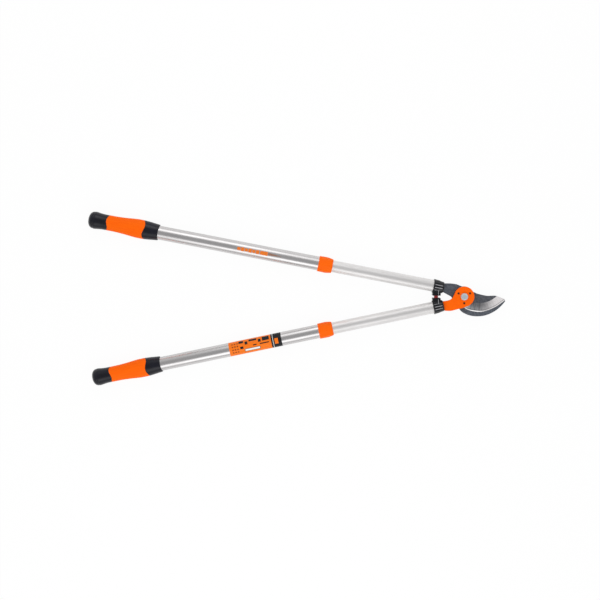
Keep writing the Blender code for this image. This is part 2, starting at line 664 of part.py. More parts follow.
def raise_nose(ferrule):
    """Makes the nose of a ferrule oval: higher than it is wide, so that the tang's slot stays inside it."""
    for vertex in ferrule.data.vertices:
        vertex.co.x *= np.interp(vertex.co.z, (FERRULE_FRONT, NOSE_END), (FERRULE_NOSE_RISE, 1))


def make_ferrule(side, frame, axis):
    """The moulded ferrule: a ribbed cap over the tube's end, a spigot in it, and the stop lobe."""
    name = SIDE_NAMES[side]
    spigot, outer, nose = SPIGOT_RADIUS, FERRULE_RADIUS, FERRULE_NOSE_RADIUS
    flange_front = FERRULE_REAR - FERRULE_FLANGE_LENGTH
    ferrule = turned(name + "_ferrule", [
        (0, SPIGOT_END), (spigot, SPIGOT_END), (spigot, NOSE_END), (SLIDING_RADIUS, NOSE_END),
        (SLIDING_RADIUS, FERRULE_REAR), (outer + FERRULE_FLANGE, FERRULE_REAR),
        (outer + FERRULE_FLANGE, flange_front), (outer, flange_front - FERRULE_FLANGE),
        (outer - FERRULE_NOSE_STEP, NOSE_END), (nose, FERRULE_FRONT + FERRULE_NOSE_ROUND),
        (nose - FERRULE_NOSE_ROUND, FERRULE_FRONT), (0, FERRULE_FRONT)], axis)
    rippled(ferrule, FERRULE_RIBS, -FERRULE_RIB_HEIGHT, SLIDING_RADIUS + GAP,
            NOSE_END - GAP, flange_front - GAP)
    raise_nose(ferrule)
    combine(ferrule, make_lobe(side, frame, axis), "UNION")
    level, thickness = {UPPER: (HOOK_LEVEL, HOOK_THICKNESS), LOWER: (ARM_LEVEL, ARM_THICKNESS)}[side]
    slot_half = thickness / 2 + GAP
    slot_width = TANG_NARROW_HALF + GAP
    slot = block(name + "_tang_slot", (level - slot_half, -slot_width, FERRULE_FRONT - OVERCUT),
                 (level + slot_half, slot_width, FERRULE_REAR + OVERCUT), axis)
    combine(ferrule, slot)
    combine(ferrule, pin_bore(side, "spigot", axis, spigot + GAP))
    dress(ferrule, BLACK_PLASTIC)


def pin_bore(side, piece, axis, half_length):
    """A cutter for the pin's hole in a piece, across the handle's axis."""
    radius = PIN_RADIUS + GAP
    return turned(f"{SIDE_NAMES[side]}_{piece}_pin_bore",
                  [(0, half_length), (radius, half_length), (radius, -half_length), (0, -half_length)],
                  axis, PIN_STEPS, (0, 0, PIN_PLACE), ACROSS, CUTTERS)


def make_bumper(frame):
    """The rubber buffer: a waisted pad with a stem that is pressed into the hook side's lobe."""
    half = LOBE_GAP / 2 - GAP
    waist = BUMPER_RADIUS - BUMPER_WAIST
    stem_end = half + BUMPER_STEM_LENGTH
    upright = (math.radians(-90), 0, 0)
    bumper = turned("bumper", [
        (0, stem_end), (BUMPER_STEM_RADIUS, stem_end), (BUMPER_STEM_RADIUS, half), (BUMPER_RADIUS, half),
        (waist, half - BUMPER_FLARE), (waist, BUMPER_FLARE - half), (BUMPER_RADIUS, -half), (0, -half)],
        frame, PIVOT_STEPS, (BUMPER_X, 0, 0), upright)
    dress(bumper, RED_RUBBER)
    socket = BUMPER_STEM_RADIUS + GAP
    floor = stem_end + GAP
    bore = turned("bumper_bore", [(0, floor), (socket, floor), (socket, -half), (0, -half)],
                  frame, PIVOT_STEPS, (BUMPER_X, 0, 0), upright, CUTTERS)
    combine(bpy.data.objects["upper_ferrule"], bore)


# Handles

def make_inner_tube(side, axis):
    """The thin tube that is pinned to the tang, with its pin and the guide bush in its rear end."""
    name = SIDE_NAMES[side]
    tube = ring(name + "_inner_tube", INNER_TUBE_RADIUS, INNER_BORE, INNER_TUBE_FRONT, INNER_TUBE_REAR, axis)
    combine(tube, pin_bore(side, "tube", axis, INNER_TUBE_RADIUS + OVERCUT))
    dress(tube, ALUMINIUM)
    reach = INNER_TUBE_RADIUS
    pin = turned(name + "_tang_pin", [(0, reach), (PIN_RADIUS, reach), (PIN_RADIUS, -reach), (0, -reach)],
                 axis, PIN_STEPS, (0, 0, PIN_PLACE), ACROSS)
    dress(pin, ZINC)
    flange, spigot = OUTER_BORE - GAP, INNER_BORE - GAP
    bore = spigot - BUSH_WALL
    seat = INNER_TUBE_REAR + GAP
    rear, front = seat + BUSH_FLANGE_LENGTH, seat - BUSH_SPIGOT_LENGTH
    bush = turned(name + "_guide_bush", [
        (bore, rear), (flange - BUSH_CHAMFER, rear), (flange, rear - BUSH_CHAMFER), (flange, seat),
        (spigot, seat), (spigot, front + BUSH_CHAMFER), (spigot - BUSH_CHAMFER, front), (bore, front)],
        axis, LOCK_STEPS)
    dress(bush, NYLON)


def make_outer_tube(side, axis):
    """The wide tube that slides on the thin one, and the plug in its rear end."""
    name = SIDE_NAMES[side]
    tube = ring(name + "_outer_tube", OUTER_TUBE_RADIUS, OUTER_BORE, OUTER_TUBE_FRONT, OUTER_TUBE_REAR, axis)
    dress(tube, ALUMINIUM)
    radius = OUTER_BORE - GAP
    front = OUTER_TUBE_REAR - PLUG_LENGTH
    floor = OUTER_TUBE_REAR - PLUG_WALL
    plug = turned(name + "_tube_plug", [
        (0, OUTER_TUBE_REAR), (radius, OUTER_TUBE_REAR), (radius, front), (radius - PLUG_WALL, front),
        (radius - PLUG_WALL, floor), (0, floor)], axis, LOCK_STEPS)
    dress(plug, BLACK_PLASTIC)


def make_lock(side, axis):
    """The twist lock: a slotted collet in the wide tube's mouth and the collar that squeezes it."""
    name = SIDE_NAMES[side]
    bore = SLIDING_RADIUS
    collet_front = COLLAR_FRONT + COLLAR_LIP + GAP
    head_end = OUTER_TUBE_FRONT - GAP
    sleeve = OUTER_BORE - GAP
    collet = turned(name + "_collet", [
        (bore, INNER_TUBE_REAR), (sleeve, INNER_TUBE_REAR), (sleeve, head_end), (COLLET_HEAD_RADIUS, head_end),
        (COLLET_MOUTH_RADIUS, collet_front), (bore, collet_front)], axis, LOCK_STEPS)
    for number in range(COLLET_SLOT_PAIRS):
        slot = block(f"{name}_collet_slot_{number + 1}",
                     (-OUTER_TUBE_RADIUS, -COLLET_SLOT_WIDTH / 2, collet_front - OVERCUT),
                     (OUTER_TUBE_RADIUS, COLLET_SLOT_WIDTH / 2, head_end - COLLET_SLOT_END), axis)
        slot.rotation_euler.z = math.pi * (number + 0.5) / COLLET_SLOT_PAIRS
        combine(collet, slot)
    dress(collet, NYLON)
    rear = COLLAR_FRONT + COLLAR_LENGTH
    mouth = COLLAR_FRONT + COLLAR_LIP
    shoulder = head_end + GAP
    skirt = OUTER_TUBE_RADIUS + GAP
    collar = turned(name + "_lock_collar", [
        (skirt, rear), (COLLAR_RADIUS - COLLAR_EDGE / 2, rear), (COLLAR_RADIUS, rear - COLLAR_EDGE),
        (COLLAR_RADIUS, shoulder - COLLAR_STRAIGHT), (COLLAR_MOUTH_RADIUS, mouth),
        (COLLAR_MOUTH_RADIUS - COLLAR_EDGE, COLLAR_FRONT), (bore, COLLAR_FRONT), (bore, mouth),
        (COLLET_MOUTH_RADIUS + GAP, mouth),
        (COLLET_HEAD_RADIUS + GAP, shoulder), (skirt, shoulder)], axis, LOCK_STEPS)
    rippled(collar, COLLAR_LOBES, COLLAR_LOBE_HEIGHT, COLLAR_RADIUS - COLLAR_EDGE / 2 - GAP,
            COLLAR_FRONT, rear - GAP)
    dress(collar, ORANGE_PLASTIC)


# Grips

STATION_PLACES = [GRIP_LENGTH * place for place, width, height in GRIP_STATIONS]
STATION_WIDTHS = [GRIP_HALF_WIDTH * width for place, width, height in GRIP_STATIONS]
STATION_HEIGHTS = [GRIP_HALF_HEIGHT * height for place, width, height in GRIP_STATIONS]


def grip_skin(start, end):
    """The outline of the grip's skin between two places, from the rear to the front."""
    inside = [place for place in STATION_PLACES if start + GAP < place < end - GAP]
    places = [end, *reversed(inside), start]
    return [(float(np.interp(place, STATION_PLACES, STATION_WIDTHS)), GRIP_RIM + place) for place in places]


def shape_grip(item, side, seams):
    """Flattens the grip's section to its height, and lets its seams run in waves round the grip."""
    for vertex in item.data.vertices:
        x, y, z = vertex.co
        place = z - GRIP_RIM
        if math.hypot(x, y) > GRIP_BORE + GAP:
            width = np.interp(place, STATION_PLACES, STATION_WIDTHS)
            x *= np.interp(place, STATION_PLACES, STATION_HEIGHTS) / max(width, GAP)
        turn = math.atan2(x, side * y)
        for seam, height, crest in seams:
            weight = max(0.0, 1 - abs(place - seam) / SEAM_WAVE_REACH)
            z += weight * height * math.cos(SEAM_WAVES * (turn - crest))
        z += RIM_HOLLOW * max(0.0, 1 - place / SEAM_WAVE_REACH) * math.sin(turn) ** 2
        vertex.co = (x, y, z)


def make_grip(side, axis):
    """The grip: a soft front band, a hard middle and a soft end that closes over the tube."""
    name = SIDE_NAMES[side]
    front_crest, rear_crest = (math.radians(crest) for crest in SEAM_CRESTS[side])
    front_wave = (GRIP_FRONT_SEAM, FRONT_WAVE_HEIGHT, front_crest)
    rear_wave = (GRIP_REAR_SEAM, REAR_WAVE_HEIGHT, rear_crest)
    half = GAP / 2
    for label, start, end, seams, material in (
            ("front", 0, GRIP_FRONT_SEAM - half, [front_wave], BLACK_RUBBER),
            ("body", GRIP_FRONT_SEAM + half, GRIP_REAR_SEAM - half, [front_wave, rear_wave], ORANGE_PLASTIC)):
        skin = grip_skin(start, end)
        bore = [(GRIP_BORE, GRIP_RIM + start), (GRIP_BORE, GRIP_RIM + end)]
        sleeve = turned(f"{name}_grip_{label}", skin + bore, axis, GRIP_STEPS)
        shape_grip(sleeve, side, seams)
        dress(sleeve, material)
    start, floor = GRIP_REAR_SEAM + half, OUTER_TUBE_REAR + GAP
    skin = grip_skin(start, STATION_PLACES[-1])
    skin[0] = (0, skin[0][1])
    cap = turned(f"{name}_grip_end", skin + [(GRIP_BORE, GRIP_RIM + start), (GRIP_BORE, floor), (0, floor)],
                 axis, GRIP_STEPS)
    shape_grip(cap, side, [rear_wave])
    dress(cap, BLACK_RUBBER)


# Assembly

def build():
    """Makes both halves of the head and both handles."""
    hook_frame, blade_frame = pivot_frame("hook_frame"), pivot_frame("blade_frame")
    make_hook_plate(hook_frame)
    make_pivot(hook_frame)
    make_cutting_blade(blade_frame)
    make_blade_arm(blade_frame)
    make_rivets(blade_frame)
    for side, frame in ((UPPER, hook_frame), (LOWER, blade_frame)):
        axis = handle_frame(side, frame)
        make_ferrule(side, frame, axis)
        make_inner_tube(side, axis)
        make_outer_tube(side, axis)
        make_lock(side, axis)
        make_grip(side, axis)
    make_bumper(hook_frame)


build()
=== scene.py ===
"""The look of a telescopic bypass lopper that lies flat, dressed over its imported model.

Metres, +Z up. The origin lies on the pivot axis at ground level, and +X runs towards the tip of the blade.
Places along a handle are measured on its axis, from the foot of the perpendicular that the pivot drops on it,
towards the grip.
"""

from __future__ import annotations

import logging
import math
from contextlib import contextmanager
from dataclasses import dataclass, field
from enum import Enum
from typing import Any, Callable, Iterable, Iterator, Sequence

import bmesh
import bpy
import numpy as np
from mathutils import Matrix, Vector


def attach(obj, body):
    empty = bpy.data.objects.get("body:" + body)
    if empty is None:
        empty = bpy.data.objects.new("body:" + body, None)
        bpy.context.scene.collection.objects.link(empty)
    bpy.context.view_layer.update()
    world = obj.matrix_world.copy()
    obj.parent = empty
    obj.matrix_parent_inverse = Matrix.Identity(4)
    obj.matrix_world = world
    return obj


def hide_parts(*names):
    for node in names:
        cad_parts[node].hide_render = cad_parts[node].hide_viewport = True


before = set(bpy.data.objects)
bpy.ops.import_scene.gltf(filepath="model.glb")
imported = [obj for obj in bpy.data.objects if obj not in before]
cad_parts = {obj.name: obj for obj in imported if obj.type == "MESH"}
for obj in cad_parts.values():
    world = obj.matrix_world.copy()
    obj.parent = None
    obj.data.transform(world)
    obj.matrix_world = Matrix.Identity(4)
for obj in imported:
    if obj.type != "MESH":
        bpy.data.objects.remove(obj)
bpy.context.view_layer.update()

LOG = logging.getLogger("lopper")

Piece = bpy.types.Object
Material = bpy.types.Material
Colour = tuple[float, float, float]
Point2 = tuple[float, float]
Profile = list[Point2]          # points of an outline, or radii and heights of a turned piece

WHITE = (1.0, 1.0, 1.0, 1.0)
SAME_POINT = 0.000002           # points closer than this are one point
LEVEL = 0.9999                  # a face whose normal rises this much lies level
GAP = 0.0003                    # clearance between neighbouring pieces
AXIS_HEIGHT = 0.0184            # the handle axes lie this far above the ground


# Handles in space

class Side(Enum):
    """The handle that a piece belongs to; its value is the side of the centre line."""

    UPPER = 1
    LOWER = -1

    @property
    def label(self) -> str:
        """The side's name as the nodes have it."""
        return self.name.lower()

    @property
    def head_body(self) -> str:
        """The half of the head that this handle's thin tube is pinned to."""
        return "hook_side" if self is Side.UPPER else "blade_side"

    @property
    def grip_body(self) -> str:
        """The body of this handle's wide tube and grip."""
        return f"{self.label}_grip_tube"


@dataclass(frozen=True)
class HandleAxis:
    """A handle's axis as a frame: Z runs towards the grip, X upwards and Y across."""

    side: Side
    half_spread: float = math.radians(11.4)
    axes_meet: float = 0.050

    @property
    def run(self) -> Vector:
        """The direction from the head to the grip."""
        return Vector((-math.cos(self.half_spread), self.side.value * math.sin(self.half_spread), 0))

    @property
    def lean(self) -> Vector:
        """The direction outwards from the centre line."""
        return Vector((math.sin(self.half_spread), self.side.value * math.cos(self.half_spread), 0))

    @property
    def matrix(self) -> Matrix:
        """Where the frame stands.

        Returns:
            Its matrix.
        """
        up = Vector((0, 0, 1))
        turn = Matrix((up, self.run.cross(up), self.run)).transposed().to_4x4()
        foot = self.lean * (self.axes_meet * math.sin(self.half_spread))
        return Matrix.Translation((foot.x, foot.y, AXIS_HEIGHT)) @ turn

    def beside(self, along: float, outward: float) -> Point2:
        """A point of the head's plane, given along the axis and outwards from it."""
        place = self.run * along + self.lean * (self.axes_meet * math.sin(self.half_spread) + outward)
        return place.x, place.y


# Node graphs

def operator(operation: str, swapped: bool = False) -> Callable[[Term, Term | float], Term]:
    """Makes an operator of Term, which adds a Math node on its two values.

    Args:
        operation: The node's operation.
        swapped: Whether the other value stands first, as in 1 - mask.

    Returns:
        The method.
    """
    def method(self: Term, other: Term | float) -> Term:
        """Adds the node."""
        return self.graph.math(operation, *((other, self) if swapped else (self, other)))
    return method


class Term:
    """A socket in an expression; each operator adds the Math node that works it out."""

    def __init__(self, graph: Graph, socket: bpy.types.NodeSocket) -> None:
        """Keeps the socket with the graph that it belongs to."""
        self.graph, self.socket = graph, socket

    __add__, __radd__ = operator("ADD"), operator("ADD", True)
    __sub__, __rsub__ = operator("SUBTRACT"), operator("SUBTRACT", True)
    __mul__, __rmul__ = operator("MULTIPLY"), operator("MULTIPLY", True)
    __truediv__, __pow__ = operator("DIVIDE"), operator("POWER")

    def cosine(self) -> Term:
        """The cosine."""
        return self.graph.math("COSINE", self)

    def sine(self) -> Term:
        """The sine."""
        return self.graph.math("SINE", self)

    def absolute(self) -> Term:
        """The value without its sign."""
        return self.graph.math("ABSOLUTE", self)

    def most(self, other: Term | float) -> Term:
        """The greater of the two."""
        return self.graph.math("MAXIMUM", self, other)

    def rise(self, low: float | Term, high: float | Term) -> Term:
        """A smooth step from 0 at low to 1 at high."""
        return self.graph.term("ShaderNodeMapRange", {"interpolation_type": "SMOOTHSTEP"},
                               {0: self, 1: low, 2: high, 3: 0.0, 4: 1.0})

    def window(self, low: float, high: float, soft: float) -> Term:
        """1 between low and high, and 0 outside, with edges of this softness."""
        return self.rise(low - soft, low + soft) * (1 - self.rise(high - soft, high + soft))


class Graph:
    """A node tree under construction, for a material, the world or geometry."""

    def __init__(self, tree: bpy.types.NodeTree) -> None:
        """Keeps the tree."""
        self.tree = tree

    def node(self, kind: str, settings: dict[str, Any] | None = None,
             inputs: dict[Any, Any] | None = None) -> bpy.types.Node:
        """Adds a node.

        Args:
            kind: The node's type.
            settings: Its properties, set first; "stops" holds a ramp's positions and colours.
            inputs: A value or a Term for each socket, by its name or its number.

        Returns:
            The node.
        """
        made = self.tree.nodes.new(kind)
        for key, value in (settings or {}).items():
            if key == "stops":
                elements = made.color_ramp.elements
                while len(elements) < len(value):
                    elements.new(1.0)
                for element, (position, colour) in zip(elements, value):
                    element.position, element.color = position, (*colour, 1.0)
            else:
                setattr(made, key, value)
        for key, value in (inputs or {}).items():
            if isinstance(value, Term):
                self.tree.links.new(value.socket, made.inputs[key])
            else:
                made.inputs[key].default_value = value
        return made

    def term(self, kind: str, settings: dict[str, Any] | None = None,
             inputs: dict[Any, Any] | None = None, output: int | str = 0) -> Term:
        """Adds a node and returns one of its outputs."""
        return Term(self, self.node(kind, settings, inputs).outputs[output])

    def math(self, operation: str, *values: Term | float) -> Term:
        """Adds a Math node on these values."""
        return self.term("ShaderNodeMath", {"operation": operation}, dict(enumerate(values)))

    def axes(self, vector: Term) -> tuple[Term, Term, Term]:
        """The three components of a vector."""
        x, y, z = self.node("ShaderNodeSeparateXYZ", inputs={0: vector}).outputs
        return Term(self, x), Term(self, y), Term(self, z)

    def vector(self, *parts: Term | float) -> Term:
        """A vector of three components."""
        return self.term("ShaderNodeCombineXYZ", inputs=dict(enumerate(parts)))

    def seen(self) -> tuple[Term, Term]:
        """Tells how a ray came: from the camera, or mirrored or let through.

        Returns:
            The two answers, each 0 or 1.
        """
        rays = self.node("ShaderNodeLightPath").outputs
        mirrored = Term(self, rays["Is Glossy Ray"]).most(Term(self, rays["Is Transmission Ray"]))
        return Term(self, rays["Is Camera Ray"]), mirrored


class Surface(Graph):
    """The nodes of one material round its Principled shader."""

    def __init__(self, name: str, **constants: Any) -> None:
        """Starts a material.

        Args:
            name: Its name.
            constants: Values of the shader's own sockets, spaces in their names written as _.
        """
        self.material = bpy.data.materials.new(name)
        self.material.use_nodes = True
        super().__init__(self.material.node_tree)
        self.tree.nodes.clear()
        self.shader = self.node("ShaderNodeBsdfPrincipled",
                                inputs={key.replace("_", " "): value for key, value in constants.items()})
        self.output = self.node("ShaderNodeOutputMaterial", inputs={0: Term(self, self.shader.outputs[0])})

    def feed(self, **values: Term | float) -> Surface:
        """Links values to the shader's sockets.

        Args:
            values: The values by socket, spaces in the names written as _.

        Returns:
            The surface.
        """
        for key, value in values.items():
            self.tree.links.new(value.socket, self.shader.inputs[key.replace("_", " ")])
        return self

    def place(self, matrix: Matrix | None = None) -> Term:
        """The object's coordinates, seen from a frame such as a handle's axis.

        Args:
            matrix: The frame, or None for the object's own.

        Returns:
            The coordinates.
        """
        here = self.term("ShaderNodeTexCoord", output="Object")
        if matrix is None:
            return here
        return self.term("ShaderNodeMapping", {"vector_type": "TEXTURE"},
                         {0: here, 1: matrix.to_translation(), 2: matrix.to_euler()})

    def stretched(self, where: Term, x: float, y: float, z: float) -> Term:
        """Coordinates in units of these lengths."""
        return self.term("ShaderNodeVectorMath", {"operation": "MULTIPLY"},
                         {0: where, 1: (1 / x, 1 / y, 1 / z)})

    def noise(self, where: Term, scale: float = 1.0, detail: float = 2.0, roughness: float = 0.5) -> Term:
        """Smooth noise from 0 to 1."""
        return self.term("ShaderNodeTexNoise",
                         inputs={"Vector": where, "Scale": scale, "Detail": detail, "Roughness": roughness})

    def wear(self) -> Term:
        """How much a point is rubbed: 1 on an outer edge, 0 on a plain face."""
        return self.term("ShaderNodeAttribute", {"attribute_name": "wear"}, output="Fac")

    def tint(self, share: Term | float, first: Colour | Term, second: Colour | Term) -> Term:
        """Mixes two colours.

        Args:
            share: How far the first has turned into the second, 0 to 1.
            first: The colour at 0.
            second: The colour at 1.

        Returns:
            The mixed colour.
        """
        colours = [c if isinstance(c, Term) else (*c, 1.0) for c in (first, second)]
        return self.term("ShaderNodeMix", {"data_type": "RGBA"},
                         {0: share, 6: colours[0], 7: colours[1]}, output=2)

    @staticmethod
    def between(span: Point2, share: Term) -> Term:
        """A value that goes from the span's start to its end as the share goes from 0 to 1."""
        low, high = span
        return low + share * (high - low)

    def relief(self, height: Term, depth: float, strength: float = 1.0, under: Term | None = None) -> Term:
        """The normal of a surface with this relief.

        Args:
            height: The relief, 0 to 1.
            depth: What its full height stands for, in metres.
            strength: Its strength.
            under: The normal of a relief below this one.

        Returns:
            The bumped normal.
        """
        inputs = {"Height": height, "Distance": depth, "Strength": strength}
        if under is not None:
            inputs["Normal"] = under
        return self.term("ShaderNodeBump", inputs=inputs)


# Finishes

@dataclass(frozen=True)
class DrawnAluminium:
    """Drawn aluminium tube: fine lines along it, a soft sheen and a few handling marks."""

    bright: Colour = (0.69, 0.675, 0.675)
    dull: Colour = (0.59, 0.575, 0.575)
    gloss: Point2 = (0.20, 0.30)
    metallic: float = 1.0
    line_width: float = 0.0005
    line_length: float = 0.060

    def make(self, name: str, matrix: Matrix) -> Material:
        """Makes the material.

        Args:
            name: Its name.
            matrix: The frame of the tube's axis, along Z.

        Returns:
            The material.
        """
        surface = Surface(name, Metallic=self.metallic)
        where = surface.place(matrix)
        lines = surface.noise(surface.stretched(where, self.line_width, self.line_width, self.line_length),
                              detail=3.0, roughness=0.6)
        patches = surface.noise(surface.stretched(where, 0.012, 0.012, 0.05), detail=3.0)
        marks = surface.noise(surface.stretched(where, 0.0022, 0.0022, 0.0007), detail=1.0).rise(0.70, 0.80)
        dullness = (lines * 0.6 + patches * 0.4).rise(0.25, 0.75)
        return surface.feed(
            Base_Color=surface.tint(dullness, self.bright, self.dull),
            Roughness=surface.between(self.gloss, dullness) + marks * 0.08,
            Normal=surface.relief(lines, 0.00002, 0.35, surface.relief(marks, 0.00002, 0.2))).material


@dataclass(frozen=True)
class MouldedPlastic:
    """Moulded plastic: a fine grain, faint flow of the colour along the piece and rubbed outer edges."""

    colour: Colour
    shade: Colour
    rubbed: Colour
    gloss: Point2 = (0.38, 0.50)
    grain: float = 0.0007
    grain_depth: float = 0.00004
    flow: tuple[float, float, float] = (0.006, 0.006, 0.040)
    specular: float = 0.5

    def make(self, name: str, matrix: Matrix | None = None) -> Material:
        """Makes the material.

        Args:
            name: Its name.
            matrix: The frame whose Z the colour flows along.

        Returns:
            The material.
        """
        surface = Surface(name, Specular_IOR_Level=self.specular)
        where = surface.place(matrix)
        flow = surface.noise(surface.stretched(where, *self.flow), detail=3.0).rise(0.3, 0.7)
        grain = surface.noise(where, 1 / self.grain, detail=2.0)
        speck = surface.noise(where, 0.5 / self.grain, detail=1.0).rise(0.45, 0.75)
        worn = surface.wear() * (0.4 + 0.6 * speck)
        low, high = self.gloss
        return surface.feed(
            Base_Color=surface.tint(worn * 0.35, surface.tint(flow, self.colour, self.shade), self.rubbed),
            Roughness=low + flow * (high - low) * 0.5 + speck * (high - low) * 0.5 - worn * 0.06,
            Normal=surface.relief(grain, self.grain_depth, 0.5)).material


@dataclass(frozen=True)
class RibbedPlastic:
    """Glossy black plastic of the ferrules, with painted highlights as pale lines on the crests of their ribs and
    along the lobe's rib, and faintly worn at its outer edges.
    """

    ferrule: Ferrules
    colour: Colour = (0.0025, 0.003, 0.0045)
    shade: Colour = (0.005, 0.006, 0.009)
    # the pale grey of the painted highlights on the rib crests and the lobe's rib, and of the faint wear on outer
    # edges
    rubbed: Colour = (0.42, 0.42, 0.44)
    gloss: Point2 = (0.12, 0.22)

    CREST_HIGHLIGHT = (0.55, 0.95)                # cosine of the ribs' wave at which a crest's painted highlight starts and is full
    NOSE, TAIL, FADE = 0.003, 0.001, 0.0008     # what stays plain at the ends of the painted crest highlights, and its softness
    INNER = (-0.0085, -0.0075)          # the painted crest highlights stop this far across, on the side of the lobe
    HEIGHT = (0.0112, 0.0131)           # only crests that stand this far above or below the axis get the painted highlight
    BAR, BAR_FADE = 0.0005, 0.0002      # half width of the painted highlight along the lobe's rib
    BAR_SPAN, BAR_END = (0.0052, 0.0150), 0.0006

    def make(self, name: str, side: Side) -> Material:
        """Makes the material.

        Args:
            name: Its name.
            side: The handle that the ferrule is on.

        Returns:
            The material.
        """
        surface = Surface(name, Specular_IOR_Level=0.3)
        ferrule = self.ferrule
        where = surface.place(HandleAxis(side).matrix)
        up, across, along = surface.axes(where)
        x, y, _ = surface.axes(surface.place())
        flow = surface.noise(surface.stretched(where, 0.004, 0.004, 0.012), detail=3.0).rise(0.3, 0.7)
        speck = surface.noise(where, 900.0, detail=2.0)
        turn = surface.math("ARCTAN2", across, up) - side.value * ferrule.rib_turn
        # Painted highlights: pale lines on the rib crests and along the lobe's rib stand in for the lamps'
        # reflections.
        crest = ((turn * ferrule.ribs).cosine().rise(*self.CREST_HIGHLIGHT)
                 * along.window(ferrule.front + self.NOSE, ferrule.rear - ferrule.flange_length - self.TAIL,
                                self.FADE)
                 * (across * side.value).rise(*self.INNER) * up.absolute().rise(*self.HEIGHT))
        bar = (x.window(ferrule.rib_x - self.BAR, ferrule.rib_x + self.BAR, self.BAR_FADE)
               * (y * side.value).window(*self.BAR_SPAN, self.BAR_END))
        # worn holds the painted highlights, and a faint real wear of the outer edges.
        worn = (crest.most(bar) * (0.45 + speck * 0.9)).most(surface.wear() * 0.10)
        return surface.feed(
            Base_Color=surface.tint(worn, surface.tint(flow, self.colour, self.shade), self.rubbed),
            Roughness=surface.between(self.gloss, flow) + worn * 0.1,
            Normal=surface.relief(speck, 0.00001, 0.3)).material


@dataclass(frozen=True)
class SoftRubber:
    """Soft grip rubber: a fine stipple, a bloom that lightens it in patches and shiny rubbed places."""

    colour: Colour = (0.0020, 0.0023, 0.0070)
    bloom: Colour = (0.0055, 0.0060, 0.0150)
    gloss: Point2 = (0.15, 0.27)
    stipple: float = 0.0011
    specular: float = 0.36

    def make(self, name: str, matrix: Matrix | None = None) -> Material:
        """Makes the material.

        Args:
            name: Its name.
            matrix: The frame whose Z runs along the grip.

        Returns:
            The material.
        """
        surface = Surface(name, Specular_IOR_Level=self.specular)
        where = surface.place(matrix)
        bloom = surface.noise(surface.stretched(where, 0.010, 0.010, 0.022), detail=4.0).rise(0.35, 0.70)
        dots = surface.term("ShaderNodeTexVoronoi", {"feature": "F1"},
                            {"Vector": where, "Scale": 1 / self.stipple}).rise(0.15, 0.65)
        grain = surface.noise(where, 2.4 / self.stipple, detail=1.0)
        worn = surface.wear()
        low, high = self.gloss
        return surface.feed(
            Base_Color=surface.tint(bloom * 0.6 + worn * 0.4, self.colour, self.bloom),
            Roughness=high - bloom * (high - low) * 0.6 - worn * 0.08 + grain * 0.06,
            Normal=surface.relief(1 - dots, 0.00004, 0.25, surface.relief(grain, 0.00002, 0.2))).material


@dataclass(frozen=True)
class CoatedSteel:
    """Low-friction coating on a steel plate: nearly black blue-grey, mottled, and rubbed to metal at its edges."""

    colour: Colour = (0.068, 0.078, 0.098)
    mottle: Colour = (0.116, 0.130, 0.156)
    metal: Colour = (0.42, 0.43, 0.45)
    gloss: Point2 = (0.34, 0.52)

    def make(self, name: str) -> Material:
        """Makes the material.

        Args:
            name: Its name.

        Returns:
            The material.
        """
        surface = Surface(name)
        where = surface.place()
        mottle = surface.noise(where, 260.0, detail=5.0, roughness=0.6).rise(0.30, 0.72)
        grain = surface.noise(where, 2600.0, detail=2.0)
        scuffs = surface.noise(surface.stretched(where, 0.0160, 0.0009, 0.004), detail=2.0).rise(0.66, 0.80)
        bare = (surface.wear() * (0.25 + surface.noise(where, 700.0, detail=3.0))).rise(0.45, 0.95)
        return surface.feed(
            Base_Color=surface.tint(bare, surface.tint(mottle, self.colour, self.mottle), self.metal),
            Roughness=surface.between(self.gloss, mottle) - scuffs * 0.05, Metallic=0.25 + bare * 0.7,
            Normal=surface.relief(grain, 0.00003, 0.35)).material


@dataclass(frozen=True)
class GroundSteel:
    """Steel ground across the edge, with a painted highlight towards the tip and, where set, a painted shade line
    beside the honed bevel: scratches that run from the edge to the blade's back.
    """

    bright: Colour
    dull: Colour
    # Painted highlight: the colours that the steel brightens to towards the tip, and how much less metallic it
    # turns there.
    tip_highlight: Colour = (0.99, 0.96, 0.96)
    tip_highlight_dull: Colour = (0.80, 0.76, 0.76)
    gloss: Point2 = (0.24, 0.42)
    tip_highlight_span: Point2 = (0.034, 0.088)
    tip_highlight_scatter: float = 0.55
    scratch_width: float = 0.00024
    scratch_length: float = 0.011
    # Painted shade: the strength of a dark line beside the honed bevel, which also scales the darkening towards
    # the grind line near the heel.
    burr: float = 0.0
    burr_colour: Colour = (0.05, 0.05, 0.055)
    burr_span: Point2 = (0.0027, 0.0037)
    burr_fade: float = 0.0004
    back_span: Point2 = (0.0045, 0.0150)
    wave_width: float = 0.0032
    wave_length: float = 0.022

    def make(self, name: str) -> Material:
        """Makes the material; it reads the map "grind", along the edge and across from it, in metres.

        Args:
            name: Its name.

        Returns:
            The material.
        """
        surface = Surface(name, Metallic=1.0)
        along, across, _ = surface.axes(surface.term("ShaderNodeUVMap", {"uv_map": "grind"}))
        scratches = surface.noise(
            surface.vector(along / self.scratch_width, across / self.scratch_length, 0.0), detail=4.0,
            roughness=0.65)
        waves = surface.noise(surface.vector(along / self.wave_width, across / self.wave_length, 0.0),
                              detail=3.0)
        dullness = (scratches * 0.5 + waves * 0.5).rise(0.32, 0.66)
        # Painted highlight: brighter and less metallic towards the tip.
        tip = along.rise(*self.tip_highlight_span)
        steel = surface.tint(tip, surface.tint(dullness, self.bright, self.dull),
                             surface.tint(dullness, self.tip_highlight, self.tip_highlight_dull))
        # Painted shade: a dark line beside the honed bevel; back darkens the ground face away from the edge near
        # the heel.
        burr = across.window(*self.burr_span, self.burr_fade)
        back = across.rise(*self.back_span) * (1 - tip) * (0.45 + dullness * 0.5)
        return surface.feed(
            Base_Color=surface.tint(burr.most(back) * self.burr, steel, self.burr_colour),
            Metallic=1 - tip * self.tip_highlight_scatter, Roughness=surface.between(self.gloss, dullness),
            Normal=surface.relief(scratches, 0.00002, 0.45)).material


